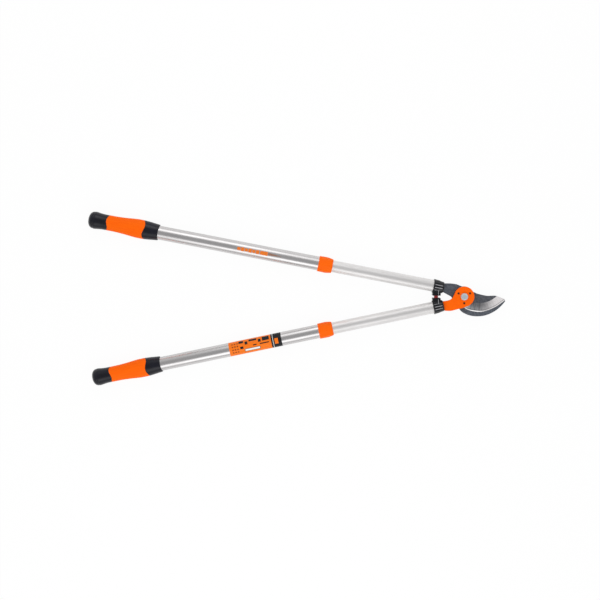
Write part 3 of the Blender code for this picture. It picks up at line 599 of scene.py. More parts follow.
@dataclass(frozen=True)
class PowderCoat:
    """Thick orange paint baked on steel: orange peel, a clear gloss and rubbed edges with a few chips."""

    colour: Colour = (1.0, 0.138, 0.002)
    shade: Colour = (0.97, 0.124, 0.002)
    primer: Colour = (0.42, 0.075, 0.012)
    gloss: Point2 = (0.30, 0.42)
    specular: float = 0.05

    def make(self, name: str) -> Material:
        """Makes the material.

        Args:
            name: Its name.

        Returns:
            The material.
        """
        surface = Surface(name, Specular_IOR_Level=self.specular)
        where = surface.place()
        cloud = surface.noise(where, 90.0, detail=3.0).rise(0.3, 0.7)
        peel = surface.noise(where, 950.0, detail=2.0)
        chips = (surface.wear() * (0.35 + surface.noise(where, 900.0, detail=4.0))).rise(0.86, 1.0)
        return surface.feed(
            Base_Color=surface.tint(chips, surface.tint(cloud, self.colour, self.shade), self.primer),
            Roughness=surface.between(self.gloss, cloud) + chips * 0.2,
            Normal=surface.relief(peel, 0.00005, 0.30)).material


@dataclass(frozen=True)
class PlatedZinc:
    """Zinc-plated steel turned on a lathe: rings round an axis, a bluish cast and dull spots."""

    bright: Colour = (0.84, 0.86, 0.87)
    dull: Colour = (0.68, 0.71, 0.74)
    gloss: Point2 = (0.40, 0.56)
    ring_pitch: float = 0.00035
    dish_radius: float = 0.0
    dish_cast: Colour = (0.70, 0.78, 0.86)

    def make(self, name: str, centre: Point2 = (0.0, 0.0)) -> Material:
        """Makes the material.

        Args:
            name: Its name.
            centre: Where the upright axis of the rings stands.

        Returns:
            The material.
        """
        surface = Surface(name, Metallic=1.0)
        where = surface.place(Matrix.Translation((*centre, 0.0)))
        x, y, z = surface.axes(where)
        radius = surface.math("SQRT", x * x + y * y)
        rings = surface.noise(surface.vector(radius / self.ring_pitch, z / self.ring_pitch, 0.0), detail=3.0)
        spots = surface.noise(where, 420.0, detail=4.0).rise(0.35, 0.72)
        dish = 1 - radius.rise(self.dish_radius - 0.0006, self.dish_radius + 0.0002)
        return surface.feed(
            Base_Color=surface.tint(dish * 0.8, surface.tint(spots * 0.6 + rings * 0.4, self.bright, self.dull),
                                    self.dish_cast),
            Roughness=surface.between(self.gloss, spots) - surface.wear() * 0.05,
            Normal=surface.relief(rings, 0.00003, 0.5)).material


@dataclass(frozen=True)
class DarkRivet:
    """Blackened rivet head: brown-black, pitted, with a trace of the paint's colour round it."""

    colour: Colour = (0.150, 0.045, 0.016)
    pits: Colour = (0.045, 0.018, 0.012)

    def make(self, name: str) -> Material:
        """Makes the material.

        Args:
            name: Its name.

        Returns:
            The material.
        """
        surface = Surface(name, Metallic=0.6)
        where = surface.place()
        pits = surface.noise(where, 1500.0, detail=3.0).rise(0.40, 0.65)
        return surface.feed(
            Base_Color=surface.tint(pits, self.colour, self.pits),
            Roughness=0.38 + pits * 0.25,
            Normal=surface.relief(1 - pits, 0.00008, 0.6)).material


@dataclass(frozen=True)
class PrintedFilm:
    """A printed label: a black band, then an orange field with plain blocks and bars, under a satin film."""

    start: float
    length: float
    band_end: float = 0.0225
    orange: Colour = (0.96, 0.195, 0.003)
    black: Colour = (0.010, 0.010, 0.012)
    brown: Colour = (0.16, 0.030, 0.006)
    white: Colour = (0.86, 0.86, 0.85)
    soft: float = 0.00014

    # Blocks lie between two places in millimetres from the start and two angles in degrees.
    PATCH = ((7.5, 15.0, -24, 24), (7.5, 15.0, 120, 168))
    BLOCKS = ((26, 41, 26, 66), (44, 50, 22, 50), (53, 70, 44, 66), (73, 79, 22, 50), (82, 92, 40, 66),
              (27, 47, 2, 11), (54, 62, 2, 11), (83, 90, -8, 12), (30, 96, 118, 134), (30, 60, 142, 150),
              (66, 84, 142, 150), (40, 90, -150, -118))
    BARS = ((48, 80, -34, -16), (45, 85, -145, -123))
    FRAME = 0.0010                      # a dark rim round each white bar
    LINE = (0.0178, 0.0188)             # the white line in the black band
    CELLS = ((-36, 60), (108, 180))     # the angles between which the rows of cells lie
    CELLS_START, CELLS_MARGIN = 93.5, 4.2
    CELL_PITCH, CELL_TURN = 0.0054, 24
    TURN_PER_METRE = 3900               # degrees round the tube for a metre on its skin
    TURN_FADE = 0.6

    def make(self, name: str, matrix: Matrix) -> Material:
        """Makes the material.

        Args:
            name: Its name.
            matrix: The frame of the tube's axis, along Z.

        Returns:
            The material.
        """
        surface = Surface(name, Specular_IOR_Level=0.2, Coat_Weight=0.06, Coat_Roughness=0.12)
        where = surface.place(matrix)
        up, across, along = surface.axes(where)
        turn = surface.math("ARCTAN2", across, up) * (180 / math.pi)
        place = along - self.start

        def covered(blocks: Iterable[tuple[float, float, float, float]], grow: float = 0.0) -> Term:
            """What blocks cover.

            Args:
                blocks: Two places in millimetres and two angles in degrees for each.
                grow: How much they are widened, in metres.

            Returns:
                1 on a block, 0 beside it.
            """
            area = None
            for begin, end, low, high in blocks:
                block = (place.window(begin / 1000 - grow, end / 1000 + grow, self.soft)
                         * turn.window(low - grow * self.TURN_PER_METRE, high + grow * self.TURN_PER_METRE,
                                       self.TURN_FADE))
                area = block if area is None else area.most(block)
            return area

        tail = self.length * 1000 - self.CELLS_MARGIN
        columns = surface.math("FRACT", (place - self.CELLS_START / 1000) / self.CELL_PITCH)
        rows = surface.math("FRACT", (turn + 180) / self.CELL_TURN)
        cells = (columns.window(0.04, 0.62, 0.04) * rows.window(0.10, 0.58, 0.03)
                 * covered((self.CELLS_START, tail, low, high) for low, high in self.CELLS))
        ink = surface.noise(where, 1800.0, detail=2.0)
        patches = covered(self.PATCH)
        band = place.window(-0.001, self.band_end, self.soft) * (1 - patches)
        frames = covered(self.BARS, self.FRAME)
        ground = surface.tint(cells * 0.85, surface.tint(ink * 0.10, self.orange, self.brown), self.brown)
        dark = band.most(covered(self.BLOCKS)).most(frames)
        lines = place.window(*self.LINE, self.soft).most(covered(self.BARS))
        printed = surface.tint(lines, surface.tint(dark, ground, self.black), self.white)
        return surface.feed(Base_Color=printed, Roughness=0.32 + ink * 0.12 + dark * 0.05,
                            Normal=surface.relief(ink, 0.00002, 0.2)).material


@dataclass(frozen=True)
class StripeInk:
    """The ink of the plain stripe: a dark brown tail that turns orange between two places."""

    tail_end: float
    dash_start: float
    brown: Colour = (0.30, 0.16, 0.11)
    orange: Colour = (0.84, 0.20, 0.018)
    thin: Colour = (0.62, 0.14, 0.02)

    def make(self, name: str, matrix: Matrix) -> Material:
        """Makes the material.

        Args:
            name: Its name.
            matrix: The frame of the tube's axis, along Z.

        Returns:
            The material.
        """
        surface = Surface(name, Specular_IOR_Level=0.2, Coat_Weight=0.05)
        where = surface.place(matrix)
        _, _, along = surface.axes(where)
        ink = surface.noise(where, 1500.0, detail=2.0)
        split = along.rise(self.tail_end, self.dash_start)
        return surface.feed(
            Base_Color=surface.tint(split, self.brown, surface.tint(ink * 0.4, self.orange, self.thin)),
            Roughness=0.34 + ink * 0.12, Normal=surface.relief(ink, 0.00002, 0.2)).material


@dataclass(frozen=True)
class StudioFloor:
    """A pale studio floor that stays white to the camera and keeps a soft shadow."""

    colour: Colour = (0.92, 0.92, 0.92)
    shade: Colour = (0.90, 0.90, 0.90)
    whitening: float = 0.95
    mirrored: float = 0.45

    def make(self, name: str) -> Material:
        """Makes the material: paint for light that bounces, mostly white for rays that show it.

        Args:
            name: Its name.

        Returns:
            The material.
        """
        surface = Surface(name, Roughness=0.9, Specular_IOR_Level=0.1)
        grain = surface.noise(surface.place(), 60.0, detail=3.0)
        surface.feed(Base_Color=surface.tint(grain * 0.3, self.colour, self.shade),
                     Normal=surface.relief(grain, 0.00005, 0.1))
        camera, mirror = surface.seen()
        shows = (camera * self.whitening).most(mirror * self.mirrored)
        white = surface.term("ShaderNodeEmission", inputs={0: WHITE, 1: 1.0})
        mixed = surface.term("ShaderNodeMixShader", inputs={
            0: shows, 1: Term(surface, surface.shader.outputs[0]), 2: white})
        surface.tree.links.new(mixed.socket, surface.output.inputs[0])
        return surface.material


# Modelling tools

def link(name: str, data: Any) -> Piece:
    """Adds an object to the scene.

    Args:
        name: Its name.
        data: What it holds, such as a mesh or a lamp.

    Returns:
        The object.
    """
    item = bpy.data.objects.new(name, data)
    bpy.context.scene.collection.objects.link(item)
    return item


def baked(item: Piece) -> Piece:
    """Replaces an object's curve, or its mesh with modifiers, by the plain mesh that results.

    Args:
        item: The object, which is removed.

    Returns:
        A new object of the same name.
    """
    bpy.context.view_layer.update()
    graph = bpy.context.evaluated_depsgraph_get()
    mesh = bpy.data.meshes.new_from_object(item.evaluated_get(graph), depsgraph=graph)
    name = item.name
    bpy.data.objects.remove(item, do_unlink=True)
    mesh.name = name
    return link(name, mesh)


@contextmanager
def editing(mesh: bpy.types.Mesh) -> Iterator[bmesh.types.BMesh]:
    """Opens a mesh for editing and writes it back.

    Args:
        mesh: The mesh.

    Yields:
        Its editable form.
    """
    work = bmesh.new()
    work.from_mesh(mesh)
    yield work
    work.to_mesh(mesh)
    work.free()


def tidy(item: Piece, sharp: float = 35.0) -> Piece:
    """Merges a piece's doubles, turns its faces outwards and shades it smooth between its real edges.

    Args:
        item: The piece.
        sharp: The least angle of a sharp edge, in degrees.

    Returns:
        The piece.
    """
    with editing(item.data) as work:
        bmesh.ops.remove_doubles(work, verts=work.verts, dist=SAME_POINT)
        bmesh.ops.dissolve_degenerate(work, dist=SAME_POINT, edges=work.edges)
        bmesh.ops.recalc_face_normals(work, faces=work.faces)
    item.data.shade_smooth()
    item.data.set_sharp_from_angle(angle=math.radians(sharp))
    return item


def mark_wear(item: Piece, full_angle: float = 50.0) -> Piece:
    """Writes the attribute "wear": 1 where the piece has an outer edge that hands and branches rub, 0 elsewhere.

    Args:
        item: The piece.
        full_angle: The bend of a fully worn edge, in degrees.

    Returns:
        The piece.
    """
    full = math.radians(full_angle)
    with editing(item.data) as work:
        layer = work.loops.layers.float.new("wear")
        for vertex in work.verts:
            bends = [edge.calc_face_angle_signed(0.0) for edge in vertex.link_edges]
            worn = min(1.0, max(0.0, sum(b for b in bends if b > 0) / full))
            for corner in vertex.link_loops:
                corner[layer] = worn
    return item


def wear_rims(item: Piece) -> Piece:
    """Marks the wear of a piece of plate on its rims alone, and keeps its level faces flat to their edges.

    Args:
        item: The piece.

    Returns:
        The piece.
    """
    mark_wear(item)
    with editing(item.data) as work:
        layer = work.loops.layers.float["wear"]
        for face in work.faces:
            if abs(face.normal.z) > LEVEL:
                for corner in face.loops:
                    corner[layer] = 0.0
                    corner.edge.smooth = False
    return item


class Joinery(Enum):
    """What is done with two solids; its value is the Boolean modifier's operation."""

    CUT = "DIFFERENCE"
    JOIN = "UNION"
    SHARE = "INTERSECT"


def combine(item: Piece, how: Joinery, other: Piece) -> Piece:
    """Cuts the other object out of the item, joins it on or keeps what they share, and removes it.

    Args:
        item: What is cut or joined.
        how: What is done.
        other: What it is done with.

    Returns:
        The result.
    """
    modifier = item.modifiers.new("cut", "BOOLEAN")
    modifier.operation, modifier.object, modifier.solver = how.value, other, "EXACT"
    result = baked(item)
    bpy.data.objects.remove(other, do_unlink=True)
    return result


def paint(item: Piece, *materials: Material) -> Piece:
    """Gives a piece its materials in place of those it has.

    Args:
        item: The piece.
        materials: The materials, in the order of its faces' indices.

    Returns:
        The piece.
    """
    item.data.materials.clear()
    for material in materials:
        item.data.materials.append(material)
    return item


def fit(item: Piece, body: str, slot: str, *nodes: str) -> None:
    """Makes a finished piece ride on a body and stand for these nodes.

    Args:
        item: The piece, at the origin, with its place in its mesh.
        body: The body that it moves with.
        slot: Not used.
        nodes: The nodes that it replaces.
    """
    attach(item, body)
    if nodes:
        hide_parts(*nodes)
    LOG.info("%s on %s, %d faces", item.name, body, len(item.data.polygons))


def arc(radius: float, start: float, end: float, centre: Point2 = (0, 0), pitch: float = 3.0) -> Profile:
    """Points of a circle's arc.

    Args:
        radius: The circle's radius.
        start: The first angle in degrees.
        end: The last angle.
        centre: The circle's centre.
        pitch: About how many degrees lie between two points.

    Returns:
        The points.
    """
    steps = max(1, round(abs(end - start) / pitch))
    angles = [math.radians(start + (end - start) * i / steps) for i in range(steps + 1)]
    return [(centre[0] + radius * math.cos(a), centre[1] + radius * math.sin(a)) for a in angles]


def circle(radius: float, centre: Point2 = (0, 0), steps: int = 48) -> Profile:
    """Points of a full circle."""
    return arc(radius, 0, 360 - 360 / steps, centre, 360 / steps)


def smooth(points: Sequence[Point2], steps: int = 10) -> Profile:
    """A smooth open curve through the points.

    Args:
        points: What it passes through.
        steps: How many points it has to a span.

    Returns:
        The curve's points, as a Catmull-Rom spline.
    """
    given = [np.array(point, dtype=float) for point in points]
    padded = [2 * given[0] - given[1], *given, 2 * given[-1] - given[-2]]
    curve = []
    for before, start, end, after in zip(padded, padded[1:], padded[2:], padded[3:]):
        for t in np.arange(steps) / steps:
            curve.append(0.5 * (2 * start + (end - before) * t
                                + (2 * before - 5 * start + 4 * end - after) * t ** 2
                                + (3 * start - before - 3 * end + after) * t ** 3))
    return [(float(x), float(y)) for x, y in [*curve, given[-1]]]


def rounded(corners: Iterable[tuple[float, float, float]], closed: bool = True, steps: int = 4) -> Profile:
    """A profile whose corners are rounded off, with a point beside each so that its wear stays there.

    Args:
        corners: Radius, height and rounding of each corner.
        closed: Whether the profile comes back to its start.
        steps: Points of a rounded corner.

    Returns:
        The profile's points.
    """
    given = [(Vector((r, z)), rounding) for r, z, rounding in corners]
    profile = []
    for i, (corner, rounding) in enumerate(given):
        ends = not closed and i in (0, len(given) - 1)
        if ends or rounding == 0:
            profile.append(tuple(corner))
            continue
        back = given[i - 1][0] - corner
        ahead = given[(i + 1) % len(given)][0] - corner
        reach = min(rounding, back.length * 0.45, ahead.length * 0.45)
        start, end = corner + back.normalized() * reach, corner + ahead.normalized() * reach
        if back.length > 4 * reach:
            profile.append(tuple(start + back.normalized() * reach * 0.6))
        for step in range(steps + 1):
            t = step / steps
            profile.append(tuple(start * (1 - t) ** 2 + corner * 2 * t * (1 - t) + end * t ** 2))
        if ahead.length > 4 * reach:
            profile.append(tuple(end + ahead.normalized() * reach * 0.6))
    return [(float(r), float(z)) for r, z in profile]


@dataclass
class Plate:
    """A flat plate of sheet steel with rounded rims and round holes."""

    name: str
    outline: Profile
    thickness: float
    level: float
    rim: float
    holes: list[Profile] = field(default_factory=list)

    def build(self) -> Piece:
        """Extrudes the outline about its level.

        Returns:
            The plate.
        """
        curve = bpy.data.curves.new(self.name, "CURVE")
        curve.dimensions, curve.fill_mode = "2D", "BOTH"
        curve.extrude, curve.bevel_depth = self.thickness / 2 - self.rim, self.rim
        curve.bevel_resolution, curve.offset = 2, -self.rim
        for loop in (self.outline, *self.holes):
            spline = curve.splines.new("POLY")
            spline.points.add(len(loop) - 1)
            for point, (x, y) in zip(spline.points, loop):
                point.co = (x, y, 0, 1)
            spline.use_cyclic_u = True
        plate = baked(link(self.name, curve))
        plate.data.transform(Matrix.Translation((0, 0, AXIS_HEIGHT + self.level)))
        return tidy(plate)


def loft(name: str, rings: Sequence[np.ndarray], looped: bool) -> Piece:
    """A skin over rings of points that have equal counts.

    Args:
        name: The piece's name.
        rings: The rings, each an array of points.
        looped: Whether the last ring joins the first, as in the wall of a sleeve; the ends are closed otherwise.

    Returns:
        The piece, before it is tidied.
    """
    steps, count = len(rings[0]), len(rings)
    points = np.concatenate(rings)
    faces = []
    for i in range(count if looped else count - 1):
        here, there = i * steps, (i + 1) % count * steps
        for j in range(steps):
            k = (j + 1) % steps
            faces.append((here + j, here + k, there + k, there + j))
    if not looped:
        faces += [tuple(range(steps)), tuple(range(len(points) - steps, len(points)))]
    mesh = bpy.data.meshes.new(name)
    mesh.from_pydata(points.tolist(), [], faces)
    return link(name, mesh)


# Geometry Nodes

class Parametric(Graph):
    """A Geometry Nodes tree with named inputs, run once on a piece and turned into a plain mesh."""

    def __init__(self, name: str, inputs: dict[str, str]) -> None:
        """Starts the tree.

        Args:
            name: Its name.
            inputs: The name of each input and the type of its socket.
        """
        super().__init__(bpy.data.node_groups.new(name, "GeometryNodeTree"))
        self.tree.interface.new_socket("Geometry", in_out="INPUT", socket_type="NodeSocketGeometry")
        self.keys = {label: self.tree.interface.new_socket(
            label, in_out="INPUT", socket_type=f"NodeSocket{kind}").identifier
            for label, kind in inputs.items()}
        self.tree.interface.new_socket("Geometry", in_out="OUTPUT", socket_type="NodeSocketGeometry")
        self.entry = self.node("NodeGroupInput")

    def given(self, label: str) -> Term:
        """One of the tree's inputs."""
        return Term(self, self.entry.outputs[label])

    def close(self, geometry: Term) -> None:
        """Ends the tree: real instances, the finish, and the output.

        Args:
            geometry: What the tree made.
        """
        real = self.term("GeometryNodeRealizeInstances", inputs={"Geometry": geometry})
        dressed = self.term("GeometryNodeSetMaterial", inputs={"Geometry": real, "Material": self.given("Finish")})
        self.node("NodeGroupOutput", inputs={0: dressed})

    def run(self, item: Piece, **values: Any) -> Piece:
        """Runs the tree on an object.

        Args:
            item: The object whose geometry goes in.
            values: The inputs, spaces in their names written as _.

        Returns:
            A new object with the plain mesh that comes out.
        """
        modifier = item.modifiers.new(self.tree.name, "NODES")
        modifier.node_group = self.tree
        for label, value in values.items():
            modifier[self.keys[label.replace("_", " ")]] = value
        return baked(item)


class Lathe(Parametric):
    """Turns a profile about an axis, raises ribs round it and puts it in its place."""

    RAIL = 0.010

    def __init__(self) -> None:
        """Builds the tree."""
        super().__init__("lathe", {
            "Steps": "Int", "Ribs": "Int", "Rib Height": "Float", "Rib Turn": "Float", "Rib Edge": "Float",
            "Rib Start": "Float", "Rib End": "Float", "Rib Fade": "Float", "Skin": "Float", "Place": "Vector",
            "Turn": "Vector", "Finish": "Material"})
        profile = self.term("GeometryNodeMeshToCurve", inputs={0: self.given("Geometry")})
        rail = self.term("GeometryNodeCurvePrimitiveCircle",
                         inputs={"Resolution": self.given("Steps"), "Radius": self.RAIL})
        turned = self.term("GeometryNodeCurveToMesh", inputs={"Curve": rail, "Profile Curve": profile})
        x, y, z = self.axes(self.term("GeometryNodeInputPosition"))
        radius = self.math("SQRT", x * x + y * y)
        fade = self.given("Rib Fade")
        start, end = self.given("Rib Start"), self.given("Rib End")
        within = z.rise(start, start + fade) * (1 - z.rise(end - fade, end))
        outside = self.math("GREATER_THAN", radius, self.given("Skin"))
        angle = self.math("ARCTAN2", y, x) - self.given("Rib Turn")
        crest = self.math("POWER", (angle * self.given("Ribs")).cosine() * 0.5 + 0.5, self.given("Rib Edge"))
        wave = crest * 2 - 1
        lift = wave * self.given("Rib Height") * within * outside / radius.most(0.0001)
        moved = self.term("GeometryNodeSetPosition", inputs={
            "Geometry": turned, "Offset": self.vector(x * lift, y * lift, 0.0)})
        welded = self.term("GeometryNodeMergeByDistance", inputs={0: moved, "Distance": SAME_POINT})
        self.close(self.term("GeometryNodeTransform", inputs={
            "Geometry": welded, "Translation": self.given("Place"), "Rotation": self.given("Turn")}))

    def turn(self, name: str, profile: Profile, matrix: Matrix, material: Material, steps: int = 96,
             ribs: int = 0, rib_height: float = 0.0, rib_span: Point2 = (0.0, 1.0), rib_fade: float = 0.001,
             rib_turn: float = 0.0, rib_edge: float = 1.0, skin: float = 0.0,
             closed: bool = True) -> Piece:
        """Turns a piece.

        Args:
            name: The piece's name.
            profile: Radius and height of its points; an open profile starts and ends on the axis.
            matrix: The frame whose Z it is turned about.
            material: Its finish.
            steps: Points round it.
            ribs: How many ribs it has.
            rib_height: Their height.
            rib_span: Where they start and end along the axis.
            rib_fade: The length over which they run out.
            rib_turn: The angle of the first rib.
            rib_edge: How narrow their crests are; 1 is a plain wave.
            skin: Points nearer the axis than this stay plain.
            closed: Whether the profile comes back to its start.

        Returns:
            The piece.
        """
        mesh = bpy.data.meshes.new(name)
        count = len(profile)
        edges = [(i, (i + 1) % count) for i in range(count if closed else count - 1)]
        mesh.from_pydata([(r - self.RAIL, -z, 0) for r, z in profile], edges, [])
        piece = self.run(link(name, mesh), Steps=steps, Ribs=ribs, Rib_Height=rib_height, Rib_Turn=rib_turn,
                         Rib_Edge=rib_edge, Rib_Start=rib_span[0], Rib_End=rib_span[1], Rib_Fade=rib_fade,
                         Skin=skin, Place=tuple(matrix.to_translation()), Turn=tuple(matrix.to_euler()),
                         Finish=material)
        return mark_wear(tidy(piece))


class RivetRing(Parametric):
    """Sets copies of one rivet at equal angles on a circle round the pivot."""

    def __init__(self) -> None:
        """Builds the tree."""
        super().__init__("rivet_ring", {"Count": "Int", "Radius": "Float", "First Angle": "Float",
                                        "Finish": "Material"})
        points = self.term("GeometryNodeMeshCircle",
                           inputs={"Vertices": self.given("Count"), "Radius": self.given("Radius")})
        angle = self.vector(0.0, 0.0, self.given("First Angle"))
        turned = self.term("GeometryNodeTransform", inputs={"Geometry": points, "Rotation": angle})
        self.close(self.term("GeometryNodeInstanceOnPoints",
                             inputs={"Points": turned, "Instance": self.given("Geometry")}))


# Sub-assemblies

@dataclass(frozen=True)
class Softbox:
    """A long softbox whose light fades towards its rims."""

    name: str
    centre: tuple[float, float]
    length: float
    width: float = 1.30
    distance: float = 1.35
    lean: float = math.radians(58)
    radiance: float = 1.30
    rim_fade: float = 1.5

    def build(self) -> None:
        """Makes the lamp; it leans over the handles from the side of its centre."""
        light = bpy.data.lights.new(self.name, "AREA")
        light.shape, light.size, light.size_y = "RECTANGLE", self.length, self.width
        light.energy = math.pi * self.length * self.width * self.radiance
        light.use_nodes = True
        graph = Graph(light.node_tree)
        graph.tree.nodes.clear()
        along, across, _ = graph.axes(graph.term("ShaderNodeNewGeometry", output="Parametric"))
        fade = (along * math.pi).sine().most(0.0) * ((across * math.pi).sine().most(0.0) ** self.rim_fade)
        glow = graph.term("ShaderNodeEmission", inputs={1: fade})
        graph.node("ShaderNodeOutputLight", inputs={0: glow})
        x, side = self.centre
        lamp = link(self.name, light)
        lamp.location = (x, side * self.distance * math.sin(self.lean), self.distance * math.cos(self.lean))
        lamp.rotation_euler = (-side * self.lean, 0, 0)


@dataclass
class Studio:
    """A pale floor, a softbox on each side of the handles, a plain room and the camera nearly straight above."""

    photo_span: float = 1.2845
    photo_centre: Point2 = (-0.3509, -0.0052)
    roll: float = math.radians(0.409)
    tilt: float = math.radians(5.63)
    camera_distance: float = 2.5
    sensor: float = 36.0
    softboxes: tuple[Softbox, ...] = (Softbox("softbox_far", (-0.40, 1), 1.10, radiance=1.42),
                                      Softbox("softbox_near", (-0.45, -1), 1.90, lean=math.radians(45),
                                              radiance=1.40))
    room_level: float = 0.85
    floor_half: float = 4.0

    ROOM = ((0.0, (0.72, 0.72, 0.72)), (0.30, (0.66, 0.66, 0.66)), (0.55, (0.62, 0.62, 0.62)),
            (0.85, (0.46, 0.46, 0.465)), (1.0, (0.42, 0.42, 0.425)))

    def build(self) -> None:
        """Makes the camera, the lamps, the world and the floor."""
        self._camera()
        for softbox in self.softboxes:
            softbox.build()
        self._world()
        mesh = bpy.data.meshes.new("studio_floor")
        half = self.floor_half
        mesh.from_pydata([(-half, -half, 0), (half, -half, 0), (half, half, 0), (-half, half, 0)], [],
                         [(0, 1, 2, 3)])
        mesh.transform(Matrix.Translation((0, 0, -GAP)))
        floor = link("studio_floor", mesh)
        paint(floor, StudioFloor().make("floor_white"))
        bpy.context.scene.view_settings.view_transform = "Standard"

    def _camera(self) -> None:
        """The camera: above the handles, leaning a little towards the upper one, with the photograph's roll."""
        data = bpy.data.cameras.new("photo_camera")
        data.sensor_width = self.sensor
        data.lens = self.sensor * self.camera_distance / self.photo_span
        back = Vector((0, math.sin(self.tilt), math.cos(self.tilt)))
        right = Vector((math.sin(self.roll), math.cos(self.roll), 0)).cross(back).normalized()
        turn = Matrix((right, back.cross(right), back)).transposed().to_4x4()
        camera = link("photo_camera", data)
        middle = Vector((*self.photo_centre, AXIS_HEIGHT))
        camera.matrix_world = Matrix.Translation(middle + back * self.camera_distance) @ turn
        bpy.context.scene.camera = camera

    def _world(self) -> None:
        """A plain room: even for the light that bounces; in reflections its walls are white, its ceiling grey."""
        world = bpy.data.worlds.new("studio")
        world.use_nodes = True
        bpy.context.scene.world = world
        graph = Graph(world.node_tree)
        graph.tree.nodes.clear()
        _, _, height = graph.axes(graph.term("ShaderNodeTexCoord", output="Generated"))
        shade = graph.term("ShaderNodeValToRGB", {"stops": self.ROOM}, {0: height})
        camera, mirror = graph.seen()
        level, walls, white = (graph.term("ShaderNodeBackground", inputs={0: colour, 1: strength})
                               for colour, strength in ((WHITE, self.room_level), (shade, 1.0), (WHITE, 1.0)))
        mirrored = graph.term("ShaderNodeMixShader", inputs={0: mirror, 1: level, 2: walls})
        mixed = graph.term("ShaderNodeMixShader", inputs={0: camera, 1: mirrored, 2: white})
        graph.node("ShaderNodeOutputWorld", inputs={0: mixed})


